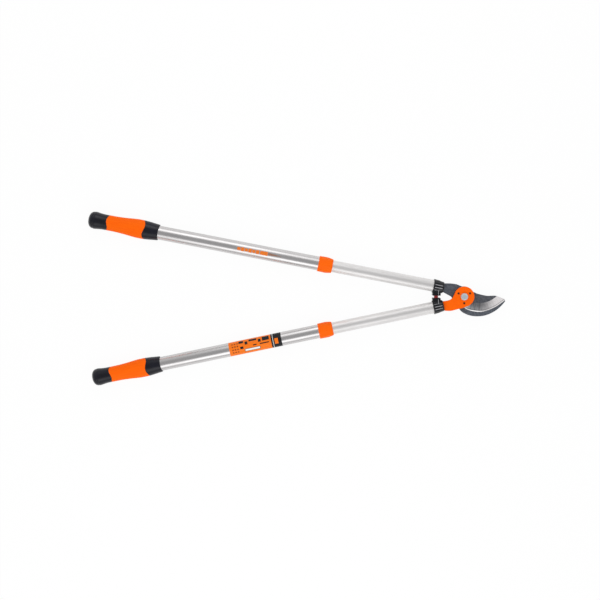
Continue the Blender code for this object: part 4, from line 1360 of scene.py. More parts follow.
@dataclass
class CuttingHead:
    """The hook, the blade with its arm and rivets, and the pivot that joins them."""

    lathe: Lathe
    hook_thickness: float = 0.0045
    blade_thickness: float = 0.0035
    arm_thickness: float = 0.0040
    stack_top: float = 0.0063
    hook_level: float = -0.00405
    blade_level: float = 0.00025
    arm_level: float = 0.0043
    arm_disc: float = 0.0216
    blade_disc: float = 0.0210
    hook_disc: float = 0.0212
    bend_unit: float = 0.0220
    rim: float = 0.0004
    tang_narrow: float = 0.00754
    tang_wide: float = 0.00934
    tang_shoulder: float = 0.0467
    arm_shoulder: float = 0.0113
    tang_end: float = 0.0950
    pin_place: float = 0.06275
    pin_radius: float = 0.0025
    shank_radius: float = 0.0040
    blade_reach: float = 0.0892
    blade_belly: float = 0.0338
    blade_back: Point2 = (0.0216, 0.0090)
    hook_reach: float = 0.0899
    hook_belly: float = 0.0434
    hook_overlap: float = 0.0036
    hook_throat: float = 0.0200
    edge_land: float = 0.00025
    bevel_width: float = 0.0026
    bevel_thickness: float = 0.0013
    wedge_over: float = 0.0020
    blade_rim: float = 0.00012
    blade_rivet_hole: float = 0.0015
    rivet_circle: float = 0.0141
    rivet_radius: float = 0.0021
    rivet_dish: Point2 = (0.0009, 0.0012)
    rivet_dish_depth: float = 0.0002
    rivet_sunk: float = 0.0004
    head_radius: float = 0.00775
    head_height: float = 0.0032
    dish_radius: float = 0.0050
    dish_depth: float = 0.0007
    washer_radius: float = 0.0090
    washer_thickness: float = 0.0014
    nut_across_flats: float = 0.0150
    nut_chamfer: float = 0.0016
    shank_clear: float = 0.0025

    # Curves from the photograph: shares of the blade's reach and belly, and of the hook's.
    EDGE = ((0.058, 0.808), (0.194, 0.932), (0.364, 1.000), (0.521, 0.947), (0.740, 0.719),
            (0.889, 0.464), (0.985, 0.266))
    GRIND = ((0.048, 0.592), (0.102, 0.568), (0.233, 0.444), (0.388, 0.426), (0.516, 0.382),
             (0.656, 0.237), (0.779, 0.009), (0.897, -0.207))
    SPINE = ((0.993, 0.219), (0.886, 0.095), (0.751, -0.030), (0.553, -0.032), (0.335, -0.160))
    HOOK = ((0.992, 0.253), (0.907, 0.463), (0.783, 0.691), (0.617, 0.885), (0.451, 0.984),
            (0.273, 0.998), (0.133, 0.947), (0.016, 0.847), (-0.058, 0.747), (-0.117, 0.585))
    # Bends of the plates from their discs to their tangs, in units of bend_unit, Y downwards.
    ARM_LOWER_BEND = ((-0.159, 1.114), (-0.478, 1.177), (-1.273, 1.372))
    ARM_UPPER_BEND = ((-1.531, 0.359), (-1.191, 0.173))
    HOOK_BACK_BEND = ((-1.273, -1.259), (-0.727, -1.182), (-0.341, -1.027))
    HOOK_HEEL_BEND = ((-0.841, 0.750), (-1.055, 0.341), (-1.227, 0.036), (-1.568, -0.164))
    RIVETS, FIRST_RIVET = 3, 30         # the first one's angle in degrees
    BLADE_ARC, HOOK_ARC, ARM_ARC = (28, 266), (98, -48), (166, -78)     # what is left of each disc, in degrees
    BEVEL_SHARES = ((0.0, 0.35, 0.75, 1.0), (0.45, 1.0, 0.9, 0.7))      # the bevel's width along the edge
    STEEP = 0.7                         # normals of ground faces rise more than this, those of the rims less
    HONED_AREA, HONED_REACH = 2e-6, 0.0001      # the thin land below the honed bevel counts as honed too
    COATING = CoatedSteel(colour=(0.062, 0.067, 0.080), mottle=(0.108, 0.114, 0.130))
    # Both ground finishes brighten towards the tip with a painted highlight; the ground one also has a painted
    # shade line beside the honed bevel.
    GROUND = GroundSteel((0.52, 0.52, 0.53), (0.21, 0.21, 0.22), burr=0.72)
    HONED = GroundSteel((0.84, 0.83, 0.83), (0.70, 0.69, 0.69), gloss=(0.16, 0.28))

    def build(self) -> None:
        """Builds, dresses and fits every piece of the head."""
        self._hook()
        self._blade()
        self._arm()
        self._rivets()
        self._pivot()

    @staticmethod
    def scaled(shares: Iterable[Point2], reach: float, depth: float) -> Profile:
        """Points given as shares of a reach along X and of a depth below the pivot."""
        return [(x * reach, -y * depth) for x, y in shares]

    def on_blade(self, shares: Iterable[Point2]) -> Profile:
        """Points given as shares of the blade's reach and belly."""
        return self.scaled(shares, self.blade_reach, self.blade_belly)

    def bend(self, units: Iterable[Point2]) -> Profile:
        """Points of a bend of the plates round the pivot."""
        return self.scaled(units, self.bend_unit, self.bend_unit)

    def edge(self) -> Profile:
        """The cutting edge from the heel to the tip."""
        heel = arc(self.blade_disc, *self.BLADE_ARC)[-1]
        return smooth([heel, *self.on_blade(self.EDGE)])

    def tang(self, side: Side, outer: float) -> Profile:
        """The tang's end as it lies in the tube, from the inner shoulder round to the outer one.

        Args:
            side: The handle.
            outer: How far out the outer shoulder lies.

        Returns:
            Its points.
        """
        axis = HandleAxis(side)
        return [axis.beside(along, outward) for along, outward in (
            (self.tang_shoulder, -self.tang_wide), (self.tang_shoulder, -self.tang_narrow),
            (self.tang_end, -self.tang_narrow), (self.tang_end, self.tang_narrow),
            (self.tang_shoulder, self.tang_narrow), (self.tang_shoulder, outer))]

    def holes(self, side: Side | None, rivets: float) -> list[Profile]:
        """The holes of a plate: the pivot's, a pin's where it has a tang, and the rivets'.

        Args:
            side: The tang's handle, if the plate has a tang.
            rivets: The rivets' radius, or 0 for none.

        Returns:
            Their outlines.
        """
        found = [circle(self.shank_radius + GAP)]
        if side is not None:
            found.append(circle(self.pin_radius + GAP, HandleAxis(side).beside(self.pin_place, 0)))
        if rivets:
            found += [circle(rivets + GAP, place, 32) for place in
                      arc(self.rivet_circle, self.FIRST_RIVET, self.FIRST_RIVET + 240, pitch=360 / self.RIVETS)]
        return found

    def _hook(self) -> None:
        """The hook with its tang, under the blade."""
        outer = smooth(self.scaled(self.HOOK, self.hook_reach, self.hook_belly))
        axis = HandleAxis(Side.UPPER)
        back = smooth([axis.beside(self.tang_shoulder, self.tang_wide), *self.bend(self.HOOK_BACK_BEND)])
        heel = smooth([outer[-1], *self.bend(self.HOOK_HEEL_BEND),
                       axis.beside(self.tang_shoulder, -self.tang_wide)])
        edge = self.edge()
        inner = []
        for before, here, after in zip(edge, edge[1:], edge[2:] + edge[-1:]):
            run = Vector((after[0] - before[0], after[1] - before[1])).normalized()
            if here[0] > self.hook_throat:
                inner.append((here[0] - run.y * self.hook_overlap, here[1] + run.x * self.hook_overlap))
        outline = (back + arc(self.hook_disc, *self.HOOK_ARC) + inner + outer[:-1] + heel[:-1]
                   + self.tang(Side.UPPER, self.tang_wide)[:-1])
        hook = Plate("hook_steel", outline, self.hook_thickness, self.hook_level, self.rim,
                     self.holes(Side.UPPER, 0)).build()
        paint(wear_rims(hook), CoatedSteel().make("hook_coating"))
        fit(hook, "hook_side", "coated_steel", "hook_plate")

    def _blade(self) -> None:
        """The blade, ground in two bevels on its upper side, coated behind the line of the grinding."""
        spine = [*self.on_blade(self.SPINE), self.blade_back]
        edge = self.edge()
        outline = arc(self.blade_disc, *self.BLADE_ARC)[:-1] + edge + smooth(spine)[:-1]
        blade = Plate("blade_blank", outline, self.blade_thickness, self.blade_level, self.blade_rim,
                      self.holes(None, self.blade_rivet_hole)).build()
        blade = tidy(combine(blade, Joinery.CUT, self._grinding(edge)), 3.0)
        blade.name = "blade_steel"
        paint(blade, self.COATING.make("blade_coating"), self.GROUND.make("blade_ground"),
              self.HONED.make("blade_honed"))
        self._mark_grinding(blade, edge)
        wear_rims(blade)
        fit(blade, "blade_side", "ground_steel", "cutting_blade")

    def _bevel(self, share: float) -> float:
        """The width of the honed bevel at this share of the edge's length."""
        return self.bevel_width * float(np.interp(share, *self.BEVEL_SHARES))

    def _grinding(self, edge: Profile) -> Piece:
        """The wedge that is ground off along the edge, as a loft over its sections from heel to tip.

        Args:
            edge: The cutting edge.

        Returns:
            The wedge.
        """
        level = AXIS_HEIGHT + self.blade_level
        top, bottom = level + self.blade_thickness / 2, level - self.blade_thickness / 2
        grind = smooth(self.on_blade(self.GRIND))
        sections = []
        lengths = self._lengths(edge)
        for edge_point, grind_point, length in zip(edge, grind, lengths):
            foot = Vector((*edge_point, bottom + self.edge_land))
            start = Vector((*grind_point, top))
            inward = Vector((start.x - foot.x, start.y - foot.y, 0)).normalized()
            middle = foot + inward * self._bevel(length / lengths[-1])
            middle.z = bottom + self.bevel_thickness
            above = start + (start - middle).normalized() * self.wedge_over
            outside = foot + (foot - middle).normalized() * self.wedge_over
            lid = top + self.wedge_over
            sections.append(np.array([above, middle, outside, (outside.x, outside.y, lid),
                                      (above.x, above.y, lid)]))
        onward = Vector((inward.y, -inward.x, 0))
        onward *= math.copysign(self.blade_thickness, onward.x)
        sections.append(sections[-1] + np.array(onward))
        wedge = loft("grinding", sections, False)
        with editing(wedge.data) as work:
            bmesh.ops.recalc_face_normals(work, faces=work.faces)
        return wedge

    @staticmethod
    def _lengths(line: Sequence[Point2]) -> np.ndarray:
        """How far along a line each of its points lies."""
        return np.concatenate([[0], np.cumsum(np.linalg.norm(np.diff(np.array(line), axis=0), axis=1))])

    def _mark_grinding(self, blade: Piece, edge: Profile) -> None:
        """Maps the blade along and across its edge, and gives its ground faces their own materials.

        Args:
            blade: The blade, with its three materials.
            edge: The cutting edge.
        """
        line = np.array(edge)
        lengths = self._lengths(edge)
        starts, runs = line[:-1], np.diff(line, axis=0)

        def reach(x: float, y: float) -> tuple[float, float]:
            """Measures a point against the edge.

            Args:
                x: Its place along X.
                y: Its place along Y.

            Returns:
                How far along the edge it lies, and how far from it.
            """
            shares = np.clip(((x - starts[:, 0]) * runs[:, 0] + (y - starts[:, 1]) * runs[:, 1])
                             / (runs ** 2).sum(1), 0, 1)
            nearest = starts + runs * shares[:, None]
            gaps = np.hypot(x - nearest[:, 0], y - nearest[:, 1])
            best = int(gaps.argmin())
            return float(lengths[best] + shares[best] * np.linalg.norm(runs[best])), float(gaps[best])

        mesh = blade.data
        places = [reach(v.co.x, v.co.y) for v in mesh.vertices]
        layer = mesh.uv_layers.new(name="grind")
        for loop in mesh.loops:
            layer.data[loop.index].uv = places[loop.vertex_index]
        for face in mesh.polygons:
            along, across = reach(*face.center[:2])
            if self.STEEP < face.normal.z < LEVEL:
                face.material_index = 2 if across < self._bevel(along / lengths[-1]) * 0.97 else 1
            elif (abs(face.normal.z) < self.STEEP and face.area < self.HONED_AREA
                  and across < self.HONED_REACH):
                face.material_index = 2

    def _arm(self) -> None:
        """The orange arm: a disc round the pivot that runs out into the lower tang."""
        disc = arc(self.arm_disc, *self.ARM_ARC)
        axis = HandleAxis(Side.LOWER)
        lower = smooth([disc[-1], *self.bend(self.ARM_LOWER_BEND),
                        axis.beside(self.tang_shoulder, self.arm_shoulder)])
        upper = smooth([axis.beside(self.tang_shoulder, -self.tang_wide), *self.bend(self.ARM_UPPER_BEND),
                        disc[0]])
        outline = disc[:-1] + lower[:-1] + self.tang(Side.LOWER, self.arm_shoulder)[::-1] + upper[1:-1]
        arm = Plate("arm_steel", outline, self.arm_thickness, self.arm_level, self.rim,
                    self.holes(Side.LOWER, self.rivet_radius)).build()
        paint(wear_rims(arm), PowderCoat().make("arm_paint"))
        fit(arm, "blade_side", "orange_paint", "blade_arm")

    def _rivets(self) -> None:
        """The shouldered rivets between the arm and the blade, set on their circle."""
        top, shoulder = self.stack_top - self.rivet_sunk, self.stack_top - self.arm_thickness
        foot, dish = self.blade_level - self.blade_thickness / 2, top - self.rivet_dish_depth
        finish = DarkRivet().make("rivet_dark")
        profile = rounded([(0, dish, 0), (self.rivet_dish[0], dish, 0.0001), (self.rivet_dish[1], top, 0.0001),
                           (self.rivet_radius, top, 0.0004), (self.rivet_radius, shoulder, 0.0001),
                           (self.blade_rivet_hole, shoulder, 0), (self.blade_rivet_hole, foot, 0),
                           (0, foot, 0)], closed=False)
        one = self.lathe.turn("rivet", profile, Matrix.Translation((0, 0, AXIS_HEIGHT)), finish, 32,
                              closed=False)
        rivets = RivetRing().run(one, Count=self.RIVETS, Radius=self.rivet_circle,
                                 First_Angle=math.radians(self.FIRST_RIVET), Finish=finish)
        rivets.name = "blade_rivets"
        mark_wear(tidy(rivets))
        fit(rivets, "blade_side", "dark_steel", "blade_rivet_1", "blade_rivet_2", "blade_rivet_3")

    def _pivot(self) -> None:
        """The bolt with its dished head, the washer and the closed nut."""
        here = Matrix.Translation((0, 0, AXIS_HEIGHT))
        zinc = PlatedZinc().make("pivot_zinc")
        dished = PlatedZinc(dish_radius=self.dish_radius).make("pivot_dished")
        seat, top = self.stack_top + GAP, self.stack_top + GAP + self.head_height
        dish = top - self.dish_depth
        washer_top = -self.stack_top - GAP
        nut_top = washer_top - self.washer_thickness - GAP
        shank_end = self.shank_clear - AXIS_HEIGHT
        bolt = self.lathe.turn("pivot_head", rounded([
            (0, dish, 0), (self.dish_radius, dish, 0.0003), (self.dish_radius + self.dish_depth, top, 0.0003),
            (self.head_radius, top, 0.0009), (self.head_radius, seat, 0.0003), (self.shank_radius, seat, 0),
            (self.shank_radius, shank_end, 0.0003), (0, shank_end, 0)], closed=False), here, dished, 64,
            closed=False)
        fit(bolt, "hook_side", "zinc", "pivot_bolt")
        bore = self.shank_radius + GAP
        washer = self.lathe.turn("washer", rounded([
            (bore, washer_top, 0.0002), (self.washer_radius, washer_top, 0.0003),
            (self.washer_radius, washer_top - self.washer_thickness, 0.0003),
            (bore, washer_top - self.washer_thickness, 0.0002)]), here, zinc, 64)
        fit(washer, "hook_side", "zinc", "pivot_washer")
        height = nut_top + AXIS_HEIGHT
        corner = self.nut_across_flats / 2 / math.cos(math.pi / 6)
        nut = Plate("closed_nut", circle(corner, steps=6), height, nut_top - height / 2, 0.0002).build()
        facing = self.lathe.turn("facing", [
            (0, nut_top + 0.001), (corner * 1.2, nut_top + 0.001),
            (corner * 1.2, self.nut_chamfer - AXIS_HEIGHT),
            (self.nut_across_flats / 2 * 0.97, -AXIS_HEIGHT), (0, -AXIS_HEIGHT)], here, zinc, 64, closed=False)
        nut = wear_rims(tidy(combine(nut, Joinery.SHARE, facing), 12.0))
        nut.name = "closed_nut"
        paint(nut, PlatedZinc(ring_pitch=0.0006).make("nut_zinc"))
        fit(nut, "hook_side", "zinc", "pivot_nut")


@dataclass
class Ferrules:
    """The ribbed ferrules with their stop lobes, and the bumper between them."""

    lathe: Lathe
    front: float = 0.0470
    rear: float = 0.0695
    radius: float = 0.0145
    flange: float = 0.0005
    flange_length: float = 0.0022
    nose_end: float = 0.0585
    nose_start_radius: float = 0.0136
    nose_radius: float = 0.0120
    ribs: int = 15
    rib_turn: float = math.radians(18)
    nose_rise: float = 1.15
    nose_round: float = 0.0009
    barrel_rib: float = 0.0003
    barrel_rib_edge: float = 4.0
    barrel_rib_start: float = 0.0012
    bore: float = 0.0129
    spigot_radius: float = 0.0111
    spigot_end: float = 0.0670
    lobe_front: float = -0.0505
    lobe_rear: float = -0.0680
    lobe_gap: float = 0.0052
    lobe_thickness: float = 0.0170
    lobe_corner: float = 0.0014
    lobe_root: float = 0.0096
    rib_x: float = -0.0556
    rib_width: float = 0.0018
    rib_height: float = 0.0009
    bumper_x: float = -0.0597
    rubber: MouldedPlastic = MouldedPlastic((0.50, 0.008, 0.018), (0.38, 0.006, 0.014), (0.62, 0.05, 0.05),
                                            gloss=(0.42, 0.58), grain=0.0009)
    bumper_radius: float = 0.0048
    bumper_waist: float = 0.0006
    bumper_rims: float = 0.0014
    stem_radius: float = 0.0020
    stem_length: float = 0.0050

    def build(self) -> None:
        """Builds, dresses and fits both ferrules and the bumper."""
        for side in Side:
            ferrule = self._ferrule(side)
            paint(ferrule, RibbedPlastic(self).make(f"{side.label}_ferrule_plastic", side))
            fit(ferrule, side.head_body, "black_plastic", f"{side.label}_ferrule")
        self._bumper()

    def _ferrule(self, side: Side) -> Piece:
        """One ferrule: a ribbed cap over the tube's end, with its spigot, its oval nose and its lobe.

        Args:
            side: The handle.

        Returns:
            The ferrule, still without its finish.
        """
        axis = HandleAxis(side)
        finish = bpy.data.materials.new("unfinished")
        flange_front = self.rear - self.flange_length
        barrel = self.lathe.turn(f"{side.label}_cap", rounded([
            (0, self.spigot_end, 0), (self.spigot_radius, self.spigot_end, 0),
            (self.spigot_radius, self.nose_end, 0), (self.bore, self.nose_end, 0),
            (self.bore, self.rear, 0.0002), (self.radius + self.flange, self.rear, 0.0004),
            (self.radius + self.flange, flange_front, 0.0003),
            (self.radius, flange_front - self.flange, 0.0003), (self.nose_start_radius, self.nose_end, 0.002),
            (self.nose_radius, self.front + self.nose_round, 0.0008),
            (self.nose_radius - self.nose_round, self.front, 0.0006), (0, self.front, 0)], closed=False),
            axis.matrix, finish, 180, ribs=self.ribs, rib_height=self.barrel_rib,
            rib_turn=side.value * self.rib_turn, rib_edge=self.barrel_rib_edge,
            rib_span=(self.front + self.barrel_rib_start, flange_front - self.flange),
            skin=self.bore + GAP, closed=False)
        self._raise_nose(barrel, axis.matrix)
        lobe = Plate("lobe", self._lobe_outline(side), self.lobe_thickness, 0.0, 0.0008).build()
        half = self.lobe_thickness / 2 + self.rib_height
        lobe = combine(lobe, Joinery.JOIN, self._rib(side, half))
        room_radius, room_front = self.bore + GAP / 2, self.nose_end - GAP
        room = self.lathe.turn("room", [(0, self.rear + 0.002), (room_radius, self.rear + 0.002),
                                        (room_radius, room_front), (0, room_front)],
                               axis.matrix, finish, 144, closed=False)
        ferrule = combine(barrel, Joinery.JOIN, combine(lobe, Joinery.CUT, room))
        ferrule.name = f"{side.label}_stop_ferrule"
        return wear_rims(tidy(ferrule, 30.0))

    def _raise_nose(self, barrel: Piece, matrix: Matrix) -> None:
        """Makes the nose higher than it is wide, which keeps the tang's slot inside it.

        Args:
            barrel: The ferrule's barrel.
            matrix: The handle's frame.
        """
        inverse = matrix.inverted()
        for vertex in barrel.data.vertices:
            place = inverse @ vertex.co
            rise = float(np.interp(place.z, (self.front, self.nose_end), (self.nose_rise, 1)))
            vertex.co = matrix @ Vector((place.x * rise, place.y, place.z))

    def _root(self) -> Point2:
        """The point inside the upper ferrule at which its lobe starts."""
        return HandleAxis(Side.UPPER).beside(self.rear - self.lobe_corner, -self.lobe_root)

    def _lobe_outline(self, side: Side) -> Profile:
        """The stop lobe in the head's plane, from inside the ferrule to its face by the centre line.

        Args:
            side: The handle.

        Returns:
            Its points.
        """
        face, corner = self.lobe_gap / 2, self.lobe_corner
        root = self._root()
        points = [root,
                  *arc(corner, 180, 270, (self.lobe_rear + corner, face + corner), 15),
                  *arc(corner, 270, 360, (self.lobe_front - corner, face + corner), 15),
                  (self.lobe_front, root[1])]
        return [(x, side.value * y) for x, y in points]

    def _rib(self, side: Side, half: float) -> Piece:
        """The rib that runs across the lobe.

        Args:
            side: The handle.
            half: How far it reaches above and below the lobe's middle.

        Returns:
            The rib.
        """
        near = self.lobe_gap / 2 + self.lobe_corner
        x0, x1 = self.rib_x - self.rib_width / 2, self.rib_x + self.rib_width / 2
        ends = sorted((side.value * near, side.value * self._root()[1]))
        outline = [(x0, ends[0]), (x1, ends[0]), (x1, ends[1]), (x0, ends[1])]
        return Plate("rib", outline, 2 * half, 0.0, 0.0004).build()

    def _bumper(self) -> None:
        """The red rubber buffer, waisted, with its stem in the upper lobe."""
        half, waist = self.lobe_gap / 2 - GAP, self.bumper_radius - self.bumper_waist
        upright = Matrix.Translation((self.bumper_x, 0, AXIS_HEIGHT)) @ Matrix.Rotation(-math.pi / 2, 4, "X")
        bumper = self.lathe.turn("rubber_bumper", rounded([
            (0, half + self.stem_length, 0), (self.stem_radius, half + self.stem_length, 0.0005),
            (self.stem_radius, half, 0.0002), (self.bumper_radius, half, 0.0005),
            (waist, half - self.bumper_rims, 0.0006), (waist, self.bumper_rims - half, 0.0006),
            (self.bumper_radius, -half, 0.0005), (0, -half, 0)],
            closed=False), upright, self.rubber.make("bumper_rubber"), 64, closed=False)
        fit(bumper, "hook_side", "red_rubber", "bumper")


@dataclass
class Tubes:
    """The thin and the wide tube of each handle, with their rims rounded over."""

    lathe: Lathe
    inner: Point2 = (0.0588, 0.3440)
    inner_radius: float = 0.0126
    inner_wall: float = 0.0012
    outer: Point2 = (0.3053, 0.8000)
    outer_radius: float = 0.0148
    outer_wall: float = 0.0010
    satin: DrawnAluminium = DrawnAluminium((0.86, 0.845, 0.84), (0.78, 0.765, 0.76), (0.42, 0.52), 0.88)

    def build(self) -> None:
        """Builds, dresses and fits the four tubes."""
        for side in Side:
            matrix = HandleAxis(side).matrix
            polished = DrawnAluminium().make(f"{side.label}_polished_aluminium", matrix)
            satin = self.satin.make(f"{side.label}_satin_aluminium", matrix)
            for name, span, radius, wall, body, metal in (
                    ("inner_tube", self.inner, self.inner_radius, self.inner_wall, side.head_body, satin),
                    ("outer_tube", self.outer, self.outer_radius, self.outer_wall, side.grip_body, polished)):
                tube = self.lathe.turn(f"{side.label}_drawn_{name}", rounded([
                    (radius - wall, span[1], 0.0003), (radius, span[1], 0.0004),
                    (radius, span[0], 0.0004), (radius - wall, span[0], 0.0003)]), matrix, metal)
                fit(tube, body, "aluminium", f"{side.label}_{name}")


@dataclass
class TwistLocks:
    """The orange collars that lock the handles' length."""

    lathe: Lathe
    front: float = 0.2890
    length: float = 0.0305
    radius: float = 0.0165
    mouth_radius: float = 0.0152
    bore: float = 0.0129
    skirt: float = 0.0151
    head_radius: float = 0.0147
    shoulder: float = 0.3053
    taper_start: float = 0.3019
    lip: float = 0.0020
    lip_radius: float = 0.0139
    mouth_round: float = 0.0012
    lobes: int = 8
    lobe_height: float = 0.0004
    lobe_fade: float = 0.0060
    lobe_end: float = 0.0010
    plastic: MouldedPlastic = MouldedPlastic((1.0, 0.142, 0.003), (0.98, 0.128, 0.003), (1.0, 0.20, 0.02),
                                             gloss=(0.34, 0.46), grain=0.0008, specular=0.05)

    def build(self) -> None:
        """Builds, dresses and fits the two collars."""
        rear, mouth = self.front + self.length, self.front + self.lip
        for side in Side:
            matrix = HandleAxis(side).matrix
            collar = self.lathe.turn(f"{side.label}_twist_collar", rounded([
                (self.skirt, rear, 0.0003), (self.radius, rear, 0.0008),
                (self.radius, self.taper_start, 0.003), (self.mouth_radius, mouth, 0.0015),
                (self.mouth_radius - self.mouth_round, self.front, 0.0006), (self.bore, self.front, 0.0003),
                (self.bore, mouth, 0), (self.lip_radius, mouth, 0), (self.head_radius, self.shoulder, 0),
                (self.skirt, self.shoulder, 0)]), matrix,
                self.plastic.make(f"{side.label}_collar_plastic", matrix), 128, ribs=self.lobes,
                rib_height=self.lobe_height, rib_span=(mouth, rear - self.lobe_end),
                rib_fade=self.lobe_fade, skin=self.skirt + 2 * GAP)
            fit(collar, f"{side.label}_collar", "orange_plastic", f"{side.label}_lock_collar")


class GripPart(Enum):
    """A piece of a grip; its value is its name in the nodes."""

    FRONT = "front"
    BODY = "body"
    END = "end"

    @property
    def feel(self) -> str:
        """Hard or soft, as the hand feels it."""
        return "hard" if self is GripPart.BODY else "soft"


@dataclass
class Grips:
    """The grips: a soft front band, a hard middle and a soft end, with wavy seams between them."""

    rim: float = 0.6650
    length: float = 0.15195
    half_width: float = 0.02003
    half_height: float = 0.0184
    bore: float = 0.0151
    floor: float = 0.8003
    front_seam: float = 0.0320
    rear_seam: float = 0.1110
    front_wave: float = 0.0022
    rear_wave: float = 0.0018
    wave_reach: float = 0.0120
    rim_hollow: float = 0.0014
    lip: float = 0.0005
    groove_place: float = 0.1405
    groove_depth: float = 0.0004
    groove_width: float = 0.0008
    steps: int = 128
    margin: float = 0.0008
    lip_angles: tuple[int, ...] = (0, 30, 60, 90)
    orange: MouldedPlastic = MouldedPlastic((1.0, 0.142, 0.002), (0.98, 0.125, 0.002), (1.0, 0.19, 0.01),
                                            gloss=(0.44, 0.56), grain=0.0010, grain_depth=0.00005,
                                            flow=(0.0022, 0.0022, 0.050), specular=0.05)

    # Place along the grip, half width and half height, as shares of the whole.
    STATIONS = ((0.000, 0.811, 0.880), (0.011, 0.846, 0.908), (0.072, 0.900, 0.940), (0.151, 0.965, 0.973),
                (0.230, 1.000, 1.000), (0.303, 1.000, 1.000), (0.382, 0.955, 0.978), (0.467, 0.891, 0.940),
                (0.579, 0.836, 0.908), (0.691, 0.821, 0.897), (0.790, 0.826, 0.902), (0.849, 0.866, 0.940),
                (0.897, 0.915, 0.984), (0.929, 0.898, 0.968), (0.953, 0.838, 0.905), (0.974, 0.712, 0.772),
                (0.989, 0.515, 0.560), (0.997, 0.300, 0.330), (1.000, 0.000, 0.000))
    CRESTS = {Side.UPPER: (120, 70), Side.LOWER: (80, 130)}     # where the seams' waves crest, in degrees

    def build(self) -> None:
        """Builds, dresses and fits the three pieces of each grip."""
        half = GAP / 2
        for side in Side:
            matrix = HandleAxis(side).matrix
            rubber = SoftRubber().make(f"{side.label}_grip_rubber", matrix)
            hard = self.orange.make(f"{side.label}_grip_plastic", matrix)
            for part, start, stop, material, slot in (
                    (GripPart.FRONT, 0.0, self.front_seam - half, rubber, "black_rubber"),
                    (GripPart.BODY, self.front_seam + half, self.rear_seam - half, hard, "orange_plastic"),
                    (GripPart.END, self.rear_seam + half, self.length, rubber, "black_rubber")):
                piece = self._piece(side, part, start, stop, matrix)
                paint(piece, material)
                fit(piece, side.grip_body, slot, f"{side.label}_grip_{part.value}")

    def _skin(self) -> np.ndarray:
        """The grip's outer shape at fine steps, as a smooth curve.

        Returns:
            A row of place, half width and half height for each step.
        """
        across = smooth([(place, width) for place, width, height in self.STATIONS], 12)
        above = smooth([(place, height) for place, width, height in self.STATIONS], 12)
        table = np.array([(place, min(width, 1.0), min(height, 1.0))
                          for (place, width), (_, height) in zip(across, above)])
        return table * (self.length, self.half_width, self.half_height)

    def _piece(self, side: Side, part: GripPart, start: float, stop: float, matrix: Matrix) -> Piece:
        """One piece of a grip.

        Args:
            side: The handle.
            part: Which one it is.
            start: Where it starts, from the rim.
            stop: Where it ends; the end piece closes over the tube there.
            matrix: The handle's frame.

        Returns:
            The piece.
        """
        table = self._skin()
        closes = part is GripPart.END
        rounding = [(self.lip * (1 - math.cos(a)), self.lip * (1 - math.sin(a)))
                    for a in np.radians(self.lip_angles)]
        rows = [(start + reach, sunk) for reach, sunk in rounding]
        rows += [(p, self.groove_depth * math.exp(-((p - self.groove_place) / self.groove_width) ** 2))
                 for p in table[:, 0] if start + self.margin < p < stop - self.margin]
        if closes:
            rows.append((self.length, 0.0))
            wall = [(self.floor - self.rim, 0.0), (self.floor - self.rim, self.bore), (start, self.bore)]
        else:
            rows += [(stop - reach, sunk) for reach, sunk in reversed(rounding)]
            wall = [(stop, self.bore), (start, self.bore)]
        rings = []
        for place, sunk in rows:
            width, height = (np.interp(place, table[:, 0], table[:, i]) for i in (1, 2))
            rings.append(self._ring(side, place, max(height - sunk, 0), max(width - sunk, 0)))
        rings += [self._ring(side, place, radius, radius) for place, radius in wall]
        piece = loft(f"{side.label}_{part.feel}_{part.value}", rings, True)
        piece.data.transform(matrix)
        return mark_wear(tidy(piece, 40.0), 90.0)

    def _ring(self, side: Side, place: float, height: float, width: float) -> np.ndarray:
        """A ring of the grip, carried along by the waves of the seams and the hollow of the rim.

        Args:
            side: The handle.
            place: Its place from the rim.
            height: Half its height.
            width: Half its width.

        Returns:
            Its points on the handle's axis.
        """
        around = np.arange(self.steps) * 2 * math.pi / self.steps
        turn = np.arctan2(np.cos(around), side.value * np.sin(around))
        front, rear = (math.radians(crest) for crest in self.CRESTS[side])
        shift = np.zeros(self.steps)
        for seam, wave, crest in ((self.front_seam, self.front_wave, front),
                                  (self.rear_seam, self.rear_wave, rear)):
            weight = max(0.0, 1 - abs(place - seam) / self.wave_reach)
            shift += weight * wave * np.cos(3 * (turn - crest))
        shift += self.rim_hollow * max(0.0, 1 - place / self.wave_reach) * np.cos(around) ** 2
        return np.stack([height * np.cos(around), width * np.sin(around), self.rim + place + shift], axis=1)


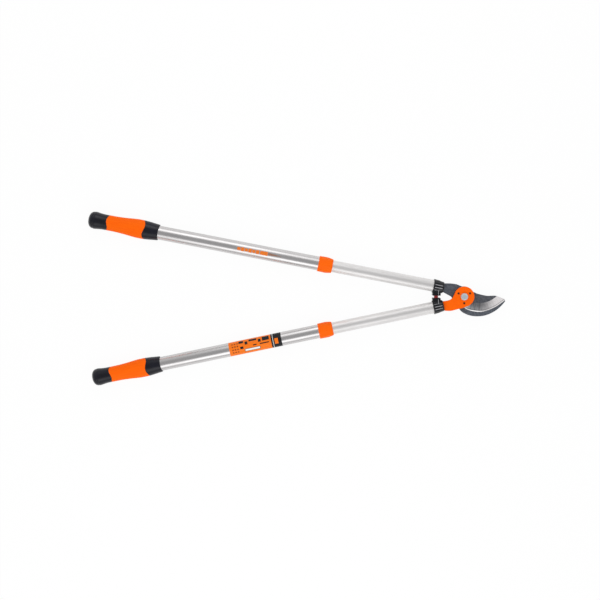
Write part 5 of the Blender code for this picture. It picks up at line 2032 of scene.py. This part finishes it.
@dataclass
class Prints:
    """What is printed on the wide tubes: a wrapped label on the lower one, a plain stripe on the upper one."""

    lathe: Lathe
    tube_radius: float = 0.0148
    film: float = 0.00006
    label_start: float = 0.4008
    label_length: float = 0.1140
    stripe_start: float = 0.4000
    stripe_half_angle: float = math.radians(16)

    TAIL = (0.0000, 0.0280, 0.04, 0.70)
    DASH = (0.0290, 0.0455, 1.0, 1.0)
    BARS = 6
    BAR_START = 0.0475
    BAR_PITCH = 0.0081
    BAR_LENGTH = 0.0068
    LOW_BAR = 0.78

    def build(self) -> None:
        """Builds, dresses and fits the label and the stripe."""
        matrix = HandleAxis(Side.LOWER).matrix
        outside, inside = self.tube_radius + self.film, self.tube_radius - self.film / 2
        end = self.label_start + self.label_length
        label = self.lathe.turn("tube_label", rounded([
            (inside, end, 0), (outside, end, 0.00003), (outside, self.label_start, 0.00003),
            (inside, self.label_start, 0)]), matrix,
            PrintedFilm(self.label_start, self.label_length).make("label_film", matrix))
        fit(label, Side.LOWER.grip_body, "orange_plastic")
        self._stripe()

    def _stripe(self) -> None:
        """A slim dark tail, an orange dash and a row of plain bars along the top of the upper tube."""
        matrix = HandleAxis(Side.UPPER).matrix
        patches = [self.TAIL, self.DASH]
        for i in range(self.BARS):
            share = self.LOW_BAR if i % 2 else 1.0
            begin = self.BAR_START + i * self.BAR_PITCH
            patches.append((begin, begin + self.BAR_LENGTH, share, share))
        mesh = bpy.data.meshes.new("tube_stripe")
        with editing(mesh) as work:
            for begin, end, *shares in patches:
                patch = loft("patch", [self._strip(self.stripe_start + place, self.stripe_half_angle * share)
                                       for place, share in zip(np.linspace(begin, end, 5),
                                                               np.linspace(*shares, 5))], False)
                work.from_mesh(patch.data)
                bpy.data.objects.remove(patch, do_unlink=True)
        mesh.transform(matrix)
        stripe = tidy(link("tube_stripe", mesh))
        ink = StripeInk(self.stripe_start + self.TAIL[1], self.stripe_start + self.DASH[0])
        paint(stripe, ink.make("stripe_ink", matrix))
        fit(stripe, Side.UPPER.grip_body, "orange_plastic")

    def _strip(self, along: float, half: float) -> np.ndarray:
        """A ring round the section of the printed film.

        Args:
            along: Its place on the handle's axis.
            half: The angle that it reaches to each side of the tube's top.

        Returns:
            The ring's points.
        """
        angles = np.linspace(-half, half, 13)
        outer, inner = self.tube_radius + self.film, self.tube_radius - self.film / 2
        return np.array([(radius * math.cos(a), radius * math.sin(a), along)
                         for radius, row in ((outer, angles), (inner, angles[::-1])) for a in row])


@dataclass
class HiddenPieces:
    """The pieces inside the handles, which keep their own shapes and get their finishes."""

    def build(self) -> None:
        """Dresses the bushes, collets, plugs and pins."""
        nylon = MouldedPlastic((0.030, 0.030, 0.033), (0.040, 0.040, 0.043), (0.09, 0.09, 0.09),
                               gloss=(0.45, 0.60)).make("bush_nylon")
        black = MouldedPlastic((0.012, 0.014, 0.018), (0.018, 0.020, 0.025), (0.06, 0.06, 0.07),
                               gloss=(0.35, 0.45)).make("plug_plastic")
        zinc = PlatedZinc().make("pin_zinc")
        for side in Side:
            for node, material in (("guide_bush", nylon), ("collet", nylon), ("tube_plug", black),
                                   ("tang_pin", zinc)):
                paint(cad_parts[f"{side.label}_{node}"], material)
                LOG.info("%s_%s dressed", side.label, node)


def main() -> None:
    """Builds the studio, then the lopper from its head to its grips."""
    logging.basicConfig(level=logging.INFO, format="%(name)s: %(message)s")
    lathe = Lathe()
    for assembly in (Studio(), CuttingHead(lathe), Ferrules(lathe), Tubes(lathe), TwistLocks(lathe), Grips(),
                     Prints(lathe), HiddenPieces()):
        assembly.build()
        LOG.info("%s done", type(assembly).__name__)


if __name__ == "__main__":
    main()
